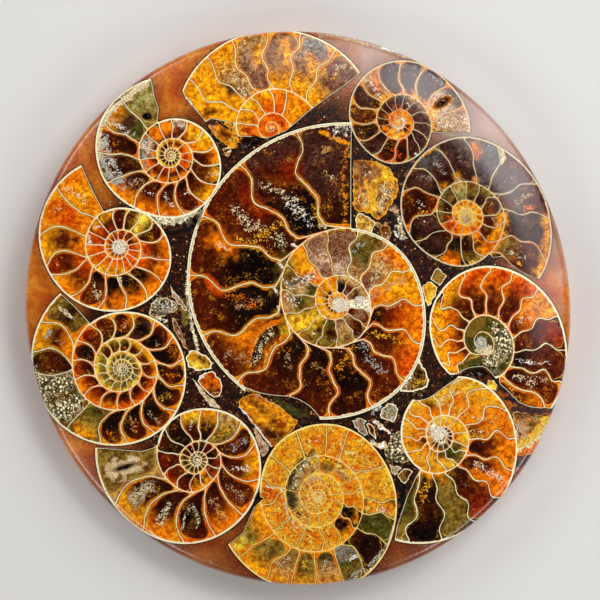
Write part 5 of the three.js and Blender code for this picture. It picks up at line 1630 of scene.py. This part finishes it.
# %% [markdown]
# The next helpers give colours and the things that recipes start from: cloudy noise, the
# attributes of the mesh, and a colour's letter. `amber_light` is the one worth a look. Light
# that goes deep into amber loses its blue first and its red last, so a shadow in it is red
# and not grey.

# %% Colours and textures
def blend(tree, share, first, second, blend_type="MIX"):
    """Mixes two colours."""
    node = step(tree, "ShaderNodeMix", data_type="RGBA", blend_type=blend_type)
    for key, value in ((0, share), (6, first), (7, second)):
        plug(node.inputs[key], value)
    return node.outputs[2]


def tinted(tree, colour, tint):
    """A colour multiplied by another."""
    return blend(tree, 1.0, colour, tint, "MULTIPLY")


def clouds(tree, place, size, detail=4.0, roughness=0.55, distortion=0.0):
    """Cloudy noise with lumps of a size in millimetres."""
    inputs = {"Vector": place, "Scale": 1 / size, "Detail": detail, "Roughness": roughness,
              "Distortion": distortion}
    return Amount(step(tree, "ShaderNodeTexNoise", inputs).outputs["Fac"])


def grains(tree, place, per_mm):
    """Grains, so many to a millimetre: the distance to a grain's middle and two chance numbers."""
    cells = step(tree, "ShaderNodeTexVoronoi", {"Vector": place, "Scale": per_mm})
    parts = step(tree, "ShaderNodeSeparateColor", {0: cells.outputs["Color"]})
    return Amount(cells.outputs["Distance"]), Amount(parts.outputs[0]), Amount(parts.outputs[1])


def measure(tree, name, output="Fac"):
    """A number that the mesh carries."""
    return Amount(step(tree, "ShaderNodeAttribute", attribute_name=name).outputs[output])


def carried_colour(tree, name):
    """A colour that the mesh carries."""
    return step(tree, "ShaderNodeAttribute", attribute_name=name).outputs["Color"]


def grey(tree, value):
    """A number as a grey, to multiply a colour by."""
    return step(tree, "ShaderNodeCombineColor", {0: value, 1: value, 2: value}).outputs[0]


def amber_light(tree, value):
    """A brightness as a colour that turns red as it darkens, as light does in thick amber."""
    return step(tree, "ShaderNodeCombineColor", {0: value ** 0.65, 1: value, 2: value ** 1.35}).outputs[0]


def ink(letter):
    """A fill colour as a node colour."""
    return (*INK[letter], 1.0)


def new_stone(name):
    """An empty material with a surface, and its place in millimetres."""
    material = bpy.data.materials.new(name)
    material.use_nodes = True
    tree = material.node_tree
    metres = step(tree, "ShaderNodeTexCoord").outputs["Object"]
    place = step(tree, "ShaderNodeVectorMath", {0: metres, 1: (1 / MM,) * 3}, operation="MULTIPLY")
    return material, tree, tree.nodes["Principled BSDF"], place.outputs[0]


def finish(tree, surface, body, polish, relief, strength, shine):
    """Joins a recipe to the surface: its colour, its roughness and its low relief."""
    plug(surface.inputs["Base Color"], body)
    plug(surface.inputs["Roughness"], polish)
    bump = step(tree, "ShaderNodeBump", {"Strength": strength, "Distance": 0.2 * MM, "Height": relief})
    plug(surface.inputs["Normal"], bump.outputs[0])
    surface.inputs["IOR"].default_value = shine


print("helpers for colours ready")

# %% [markdown]
# ## The clear stone of a chamber
# Calcite grew inwards from the walls, in layers: a glowing edge, a thin bright skin, and a
# darker heart, full of clouds, veins and flecks. Real glow comes from light scattered inside
# the stone. Subsurface scattering could do that, but on thin lines it smears the walls, so
# the glow is painted by depth instead, and the heart is shaded with amber light.

# %% The clear stone of a chamber
HEART = (0.08, 0.28)  # depths between which the edge turns into the heart
SKIN = 0.1  # depth of the thin bright skin
SKIN_WIDTH = 0.06


def glowing_heart(tree, cloud):
    """The edge, the heart and how the light varies in it. Also gives where the heart starts."""
    edge = carried_colour(tree, "edge")
    zone = measure(tree, "depth") + cloud["mottles"] * 0.4 + cloud["wide"] * 0.4 - 0.4
    deep_edge = tinted(tree, edge, (1.0, 0.45, 0.2, 1))
    web = blend(tree, ease(cloud["mottles"], 0.38, 0.6, 0.8, 0.0), edge, deep_edge)
    body = blend(tree, ease(zone, *HEART), web, carried_colour(tree, "core"))
    light = ease(cloud["mottles"], 0.34, 0.66, 0.42, 1.5) * ease(cloud["wide"], 0.3, 0.7, 0.6, 1.3)
    coarse = (cloud["flecks"] - 0.5) * (measure(tree, "sugar") * 3.5 + 2.1) + 1.0
    light = amber_light(tree, light * coarse.at_least(0.15))
    light = blend(tree, ease(zone, *HEART, 0.45, 1.0), (1.0, 1.0, 1.0, 1), light)
    return tinted(tree, body, light), zone


def chamber_colour(tree, place, cloud):
    """The clear stone of a chamber: glow, heart, skin, veins and flecks."""
    body, zone = glowing_heart(tree, cloud)
    skin = ease(abs(zone - SKIN), 0.0, SKIN_WIDTH, 0.7, 0.0) * ease(cloud["wide"], 0.4, 0.55)
    body = blend(tree, skin, body, ink("y"))
    warm = blend(tree, 0.45, carried_colour(tree, "edge"), ink("a"))
    ridges = clouds(tree, place, 1.7, 3, 0.5, 1.2)
    vein = ease(abs(ridges - 0.5), 0.0, 0.03, 1.0, 0.0) * ease(cloud["wide"], 0.54, 0.66, 0.0, 0.7)
    body = blend(tree, vein, body, warm)
    warm_fleck = ease(cloud["sparks"], 0.61, 0.67) * ease(cloud["wide"], 0.46, 0.64, 0.0, 0.7)
    body = blend(tree, warm_fleck, body, warm)
    pale_fleck = ease(cloud["sparks"], 0.69, 0.73) * ease(cloud["mottles"], 0.5, 0.62, 0.0, 0.8)
    return blend(tree, pale_fleck, body, blend(tree, 0.5, ink("e"), ink("y")))


print("chamber recipe ready")

# %% [markdown]
# The amber coils are crazed all over: thin golden lines that curl, each edged with a dark
# band of painted shadow.
# The edges of Voronoi cells make such lines. Plain cells look like a honeycomb, so the place
# is bent by noise before the cells are looked up.

# %% Crazed stone
CRACKS_PER_MM = 0.62
CRACK_BEND = (3.0, 3.0, 0.0)


def crackled(tree, place, cloud, body):
    """Lays curly golden cracks over the stone, each edged with painted shadow."""
    bend = step(tree, "ShaderNodeTexNoise", {"Vector": place, "Scale": 0.7, "Detail": 2.0})
    bent = step(tree, "ShaderNodeVectorMath", {0: bend.outputs["Color"], 1: CRACK_BEND, 2: place},
                operation="MULTIPLY_ADD")
    cells = step(tree, "ShaderNodeTexVoronoi", {"Vector": bent.outputs[0], "Scale": CRACKS_PER_MM},
                 feature="DISTANCE_TO_EDGE")
    crack = Amount(cells.outputs["Distance"])
    amount = measure(tree, "crackle") * ease(cloud["wide"], 0.42, 0.52, 0.15, 1.0)
    # painted shadow: a dark band along each crack
    side = ease(crack, 0.05, 0.26, 0.85, 0.0) * amount
    body = blend(tree, side, body, blend(tree, 0.45, ink("u"), ink("f")))
    line = ease(crack, 0.03, 0.075, 1.0, 0.0) * amount
    return blend(tree, line, body, blend(tree, 0.15, ink("y"), ink("j")))


print("cracks about", round(1 / CRACKS_PER_MM, 1), "mm apart")

# %% [markdown]
# ## Milky, flecked and druzy patches
# Where a chamber didn't fill with clear calcite there is milky stone, a scatter of broken
# white growths, or druse: a crust of small crystals. One recipe makes all three. `grain`
# goes from 0 to 1, and as it rises the patch first breaks up into flecks, by noise, and then
# turns into beads of crystal, which are Voronoi cells with a bright middle and a dark gap:
# a painted highlight and painted shade, over the same beads raised as relief.

# %% Milky, flecked and druzy patches
BEADS_PER_MM = 1.4


def lay_patches(tree, place, cloud, body):
    """Lays the patches over the stone, with the painted highlight and shade of the druse.
    Also gives the relief of the druse.
    """
    cover = measure(tree, "patch", "Alpha")
    grain = measure(tree, "grain")
    broken_up = ease(grain, 0.0, 0.3, 0.15, 1.0)
    druzy = ease(grain, 0.6, 0.95)
    distance, chance, _ = grains(tree, place, BEADS_PER_MM)
    # painted highlight in each bead's middle and painted shade in the gaps; also the beads' relief
    bead_relief_and_shade = ease(distance, 0.28, 0.62, 1.35, 0.08) * ease(chance, 0.0, 1.0, 0.6, 1.3)
    smooth = blend(tree, ease(cloud["flecks"], 0.36, 0.6), (0.55, 0.4, 0.3, 1), (1.1, 1.08, 1.05, 1))
    flecked = blend(tree, ease(cloud["flecks"], 0.35, 0.65), (0.25, 0.13, 0.06, 1), (1.05, 1.0, 0.95, 1))
    warmth = blend(tree, ease(chance, 0.1, 0.6), (0.9, 0.78, 0.52, 1), (1.05, 1.02, 0.93, 1))
    crystals = tinted(tree, grey(tree, bead_relief_and_shade), warmth)
    shade = blend(tree, druzy, blend(tree, broken_up, smooth, flecked), crystals)
    spot = tinted(tree, carried_colour(tree, "patch"), shade)
    ragged = cloud["flecks"] * 2.6 + cloud["mottles"] * 2.0 + cloud["sparks"] * 1.6 - 3.1
    level = cover * (broken_up * -0.64 + 1.0) + ragged * broken_up + druzy * 0.3
    covered = ease(level, 0.34, 0.6) * ease(cover, 0.0, 0.25)
    return blend(tree, covered, body, spot), bead_relief_and_shade * druzy * covered


print("beads of druse", round(1 / BEADS_PER_MM, 1), "mm across")

# %% [markdown]
# ## Septa and shell
# The walls of a chamber are pale shell. Each is drawn where the distance to it is under half
# its width, and a little noise on that distance roughens its edge. Beside a septum lies a
# dark lining, a corner between two walls has a honey-coloured web, and the thick outer wall
# of the large coil has a groove along its middle, because it is two layers of shell.

# %% Septa and shell
WALL_SOFTNESS = (-0.06, 0.09)


def draw_walls(tree, cloud, body):
    """Draws the dark lining, the webs, the septa and the shell."""
    septum, outer, inner = (abs(measure(tree, name)) for name in ("septum", "outer", "inner"))
    size = measure(tree, "size")
    line = measure(tree, "line") * ease(cloud["wide"], 0.25, 0.75, 0.75, 1.25)
    shell = measure(tree, "shell") * ease(cloud["mottles"], 0.25, 0.75, 0.75, 1.25)
    past = (septum - line) / size
    lining = ease(past, 0.0, 0.8, 0.7, 1.0) * ease(past, 0.05, 0.3, 0.5, 1.0)
    body = tinted(tree, body, grey(tree, lining))
    corner = (septum + outer.at_most(inner)) / size
    body = blend(tree, ease(corner, 0.45, 1.2, 0.8, 0.0), body, ink("h"))
    pale = blend(tree, ease(cloud["mottles"], 0.16, 0.42), ink("h"), carried_colour(tree, "seam"))
    pale = blend(tree, ease(cloud["flecks"], 0.3, 0.4, 0.3, 0.0), pale, ink("u"))
    groove = ease(abs(outer - shell * 0.55), 0.03, 0.13, 0.8, 0.0) * ease(shell, 0.5, 0.7)
    layered = blend(tree, groove, pale, ink("c"))
    jitter = cloud["flecks"] * 0.16 - 0.08
    walls = ((outer, shell, layered), (inner, line * 1.15, pale), (septum, line, pale))
    for distance, half, paint in walls:
        wall = ease(distance + jitter - half, *WALL_SOFTNESS, 1.0, 0.0)
        body = blend(tree, wall, body, paint)
    return body


print("four layers: stone, cracks, patches, walls")

# %% [markdown]
# ## The calcite finish
# The recipes are now laid over each other. All fossils share them, since the mesh says what
# each chamber is made of, and the finishes differ only in polish: hard clear calcite takes a
# higher polish than mudstone or druse, which stays a little rough.

# %% The calcite finish
CALCITE_SHINE = 1.44  # index of refraction
POLISH = {"dark_calcite": 0.1, "brown_calcite": 0.1, "orange_calcite": 0.1, "amber_calcite": 0.1,
          "cream_calcite": 0.2, "olive_mudstone": 0.2, "grey_crystal": 0.24}


def calcite(name, roughness):
    """The finish of a sawn and polished fossil."""
    material, tree, surface, place = new_stone(name)
    cloud = dict(wide=clouds(tree, place, 3.2, 3), mottles=clouds(tree, place, 1.2, 3, 0.55, 0.5),
                 flecks=clouds(tree, place, 0.42, 3, 0.6), sparks=clouds(tree, place, 0.5, 2, 0.5, 0.5))
    body = crackled(tree, place, cloud, chamber_colour(tree, place, cloud))
    body, druse = lay_patches(tree, place, cloud, body)
    body = draw_walls(tree, cloud, body)
    polish = ease(cloud["mottles"], 0.3, 0.7, roughness, roughness + 0.07) + druse * 0.2
    finish(tree, surface, body, polish, cloud["flecks"] * 0.12 + druse, 0.35, CALCITE_SHINE)
    return material


STONES = {name: calcite(name, roughness) for name, roughness in POLISH.items()}
print(len(STONES), "finishes, with", len(STONES["dark_calcite"].node_tree.nodes), "nodes each")

# %% [markdown]
# ## The matrix stone
# The casting is ground stone and resin. By the rim it is a warm orange-brown, darker and redder
# towards the bottom, with a pale painted sheen near the rim at the upper right, and painted
# shade darkens it towards each piece, most in a thin band right round it.
# In the gaps it is nearly black, with pale grains. A thin crust of druse clings to some of
# the pieces' edges, and the streaks of the table lay more of it.

# %% The matrix stone
MATRIX_SHINE = 1.68  # index of refraction
GRAINS_PER_MM = 1.1
CRYSTALS_PER_MM = 1.6
MATRIX_COLOURS = {"brown": "c85c10", "orange": "f49a28", "rust": "8a3208", "dusk": "6e2a08",
                  "sheen_grey": "9c8a86", "black": "0c0502", "dark_brown": "3a1507"}


def casting_colour(tree, cloud):
    """The stone: warm by the rim, nearly black between the coils, with a painted sheen at the
    upper right and painted shade towards each piece.
    """
    paint = {name: (*linear(code), 1) for name, code in MATRIX_COLOURS.items()}
    warm = blend(tree, ease(cloud["wide"], 0.3, 0.7), paint["brown"], paint["orange"])
    warm = blend(tree, ease(cloud["mottles"], 0.35, 0.7, 0, 0.5), warm, paint["rust"])
    warm = blend(tree, measure(tree, "dusk"), warm, paint["dusk"])
    # painted sheen near the rim at the upper right
    warm = blend(tree, measure(tree, "painted_sheen"), warm, paint["sheen_grey"])
    # painted shade: the stone darkens towards each piece
    shade = amber_light(tree, ease(measure(tree, "shore"), 0.3, 5.0, 0.5, 1.05))
    dark = blend(tree, ease(cloud["mottles"], 0.35, 0.65), paint["black"], paint["dark_brown"])
    return blend(tree, measure(tree, "gloom"), tinted(tree, warm, shade), dark)


def lay_grains(tree, place, cloud, body):
    """Scatters rare pale grains and glints."""
    distance, chance, hue = grains(tree, place, GRAINS_PER_MM)
    rare = ease(distance, 0.16, 0.3, 1, 0) * ease(chance, 0.8, 0.86)
    amount = rare * (measure(tree, "gloom") * 0.75 + 0.1)
    body = blend(tree, amount, body, blend(tree, hue, ink("o"), ink("e")))
    glint = ease(cloud["sparks"], 0.63, 0.7) * ease(cloud["mottles"], 0.45, 0.6, 0.1, 0.9)
    return blend(tree, glint, body, blend(tree, ease(cloud["wide"], 0.45, 0.55), ink("o"), ink("n")))


def lay_crusts(tree, place, cloud, body):
    """Lays the crusts along the pieces, a thin band of painted shade round each, and the
    streaks of the table.
    """
    shore = measure(tree, "shore") + cloud["flecks"] * 0.8 - 0.4
    here_and_there = ease(cloud["mottles"], 0.5, 0.6) * ease(cloud["wide"], 0.48, 0.56)
    crust = ease(shore, 0.5, 0.8, 1.0, 0.0) * here_and_there
    body = blend(tree, crust, body, blend(tree, ease(cloud["sparks"], 0.4, 0.6), ink("u"), ink("n")))
    # painted shade: a thin dark band right round each piece
    body = tinted(tree, body, grey(tree, ease(shore, 0.1, 0.6, 0.3, 1.0)))
    _, crystal, _ = grains(tree, place, CRYSTALS_PER_MM)
    sparkle = ease(crystal, 0, 1, 0.5, 1.4) * ease(cloud["sparks"], 0.35, 0.6, 0.5, 1.15)
    spot = tinted(tree, carried_colour(tree, "patch"), grey(tree, sparkle))
    cover = measure(tree, "patch", "Alpha")
    ragged = cloud["flecks"] * 2.2 + cloud["mottles"] * 2.4 - 2.6
    covered = ease(cover + ragged, 0.1, 0.35) * ease(cover, 0.05, 0.3)
    return blend(tree, covered, body, spot)


def matrix_stone():
    """The finish of the casting."""
    material, tree, surface, place = new_stone("matrix_stone")
    cloud = dict(wide=clouds(tree, place, 7, 4, 0.5), mottles=clouds(tree, place, 1.3, 6, 0.6),
                 flecks=clouds(tree, place, 0.35, 3, 0.6), sparks=clouds(tree, place, 0.5, 2, 0.5, 0.5))
    body = lay_grains(tree, place, cloud, casting_colour(tree, cloud))
    body = lay_crusts(tree, place, cloud, body)
    polish = ease(cloud["flecks"], 0.3, 0.7, 0.15, 0.3)
    finish(tree, surface, body, polish, cloud["mottles"], 0.3, MATRIX_SHINE)
    return material


STONES["matrix_stone"] = matrix_stone()
print("matrix stone has", len(STONES["matrix_stone"].node_tree.nodes), "nodes")

# %% [markdown]
# ## Handing the pieces over
# Each piece rides on the plate's one body, hides the imported solid it stands in for, and
# takes its finish.
# Pieces are grouped by finish here, so that a maker can see at a glance what is made of what.

# %% Handing the pieces over
SLOTS = {
    "matrix_stone": ["matrix"],
    "dark_calcite": ["large_ammonite", "top_right_ammonite", "upper_right_ammonite",
                     "lower_left_ammonite"],
    "orange_calcite": ["right_ammonite", "lower_right_ammonite", "left_ammonite", "top_ammonite",
                       "orange_chip", "amber_wedge", "orange_lump"],
    "amber_calcite": ["bottom_ammonite", "amber_block", "yellow_chip", "amber_chip",
                      "quarter_chip", "yellow_nub"],
    "brown_calcite": ["bottom_left_ammonite", "upper_left_ammonite", "brown_chip", "pale_sliver",
                      "rust_chip", "brown_oval"],
    "cream_calcite": ["tan_block", "cream_lump", "white_sliver", "thin_sliver", "pink_sliver",
                      "white_splinter", "cream_chip", "pale_chip"],
    "olive_mudstone": ["olive_square", "striped_block", "rim_shell"],
    "grey_crystal": ["grey_lump", "grey_chip", "speckled_block", "blue_grey_lump"],
}
for slot, names in SLOTS.items():
    for name in names:
        piece = pieces[name]
        piece.name = name + "_inlay" if name != "matrix" else "matrix_stone"
        piece.data.materials.append(STONES[slot])
        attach(piece, "root")
        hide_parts(name)
print(sum(len(names) for names in SLOTS.values()), "pieces handed over")

# %% [markdown]
# ## The floor
# A plain pale floor under the plate, large enough to fill the view from any side.

# %% The floor
FLOOR_HALF = 0.9  # metres
FLOOR_COLOUR = (0.72, 0.71, 0.69, 1)
FLOOR_ROUGHNESS = 0.9


def make_floor():
    """A plain pale floor."""
    mesh = bpy.data.meshes.new("floor")
    corners = [(x * FLOOR_HALF, y * FLOOR_HALF, 0) for x, y in ((-1, -1), (1, -1), (1, 1), (-1, 1))]
    mesh.from_pydata(corners, [], [(0, 1, 2, 3)])
    floor = bpy.data.objects.new("floor", mesh)
    bpy.context.scene.collection.objects.link(floor)
    material = bpy.data.materials.new("floor_paint")
    material.use_nodes = True
    surface = material.node_tree.nodes["Principled BSDF"]
    surface.inputs["Base Color"].default_value = FLOOR_COLOUR
    surface.inputs["Roughness"].default_value = FLOOR_ROUGHNESS
    mesh.materials.append(material)


make_floor()
print("floor", 2 * FLOOR_HALF, "m wide")

# %% [markdown]
# ## The lights
# A polished face is a mirror, and from straight above it would show any lamp that hangs over
# it as a white glare. So the four soft boxes that light the colours stand low, all round,
# where their mirror images miss the camera. Three haze boxes stand higher at the upper right:
# only the sloping shoulder there turns their light to the camera, as a soft sheen. A long low
# box on the same side draws the edge of the rim.

# %% The lights
# Each row: name, azimuth, degrees from straight above, distance, width, height, watts
LAMPS = [("soft_box_%d" % azimuth, azimuth, 58, 1.2, 0.7, 0.4, 4.35) for azimuth in (45, 135, 225, 315)]
LAMPS += [("haze_box_%d" % azimuth, azimuth, 38, 0.9, 0.4, 0.28, power)
          for azimuth, power in ((76, 1.0), (46, 1.7), (16, 1.0))]
LAMPS += [("rim_box", 48, 78, 1.0, 1.2, 0.25, 1.8)]
ROOM_COLOUR = (1, 0.98, 0.95, 1)
ROOM_LIGHT = 0.04


def soft_box(name, azimuth, from_zenith, distance, wide, tall, power):
    """A soft box that looks at the middle of the plate."""
    light = bpy.data.lights.new(name, "AREA")
    light.shape = "RECTANGLE"
    light.size = wide
    light.size_y = tall
    light.energy = power
    lamp = bpy.data.objects.new(name, light)
    bpy.context.scene.collection.objects.link(lamp)
    turn = math.radians(azimuth)
    tilt = math.radians(from_zenith)
    out = distance * math.sin(tilt)
    lamp.location = (out * math.cos(turn), out * math.sin(turn), distance * math.cos(tilt))
    lamp.rotation_euler = Vector(lamp.location).to_track_quat("Z", "Y").to_euler()


for lamp in LAMPS:
    soft_box(*lamp)
world = bpy.data.worlds.new("dim_room")
world.use_nodes = True
room = world.node_tree.nodes["Background"]
room.inputs["Color"].default_value = ROOM_COLOUR
room.inputs["Strength"].default_value = ROOM_LIGHT
bpy.context.scene.world = world
bpy.context.scene.view_settings.view_transform = "Standard"
print(len(LAMPS), "lamps")

# %% [markdown]
# ## The camera
# The camera looks straight down. A long lens from far off keeps the rim a true circle and
# hides the side, as a short lens would not.

# %% The camera
FRAME_WIDTH = 163.04
FRAME_MIDDLE = (0.54, 2.17)
FACE_LEVEL = 13.0
LENS = 240
SENSOR = 36
FAR_CLIP = 10  # metres

camera_data = bpy.data.cameras.new("camera")
camera_data.lens = LENS
camera_data.sensor_width = SENSOR
camera_data.clip_end = FAR_CLIP
camera = bpy.data.objects.new("camera", camera_data)
bpy.context.scene.collection.objects.link(camera)
distance = FRAME_WIDTH * LENS / SENSOR
camera.location = (FRAME_MIDDLE[0] * MM, FRAME_MIDDLE[1] * MM, (FACE_LEVEL + distance) * MM)
bpy.context.scene.camera = camera
print("camera", round(distance), "mm above the face")
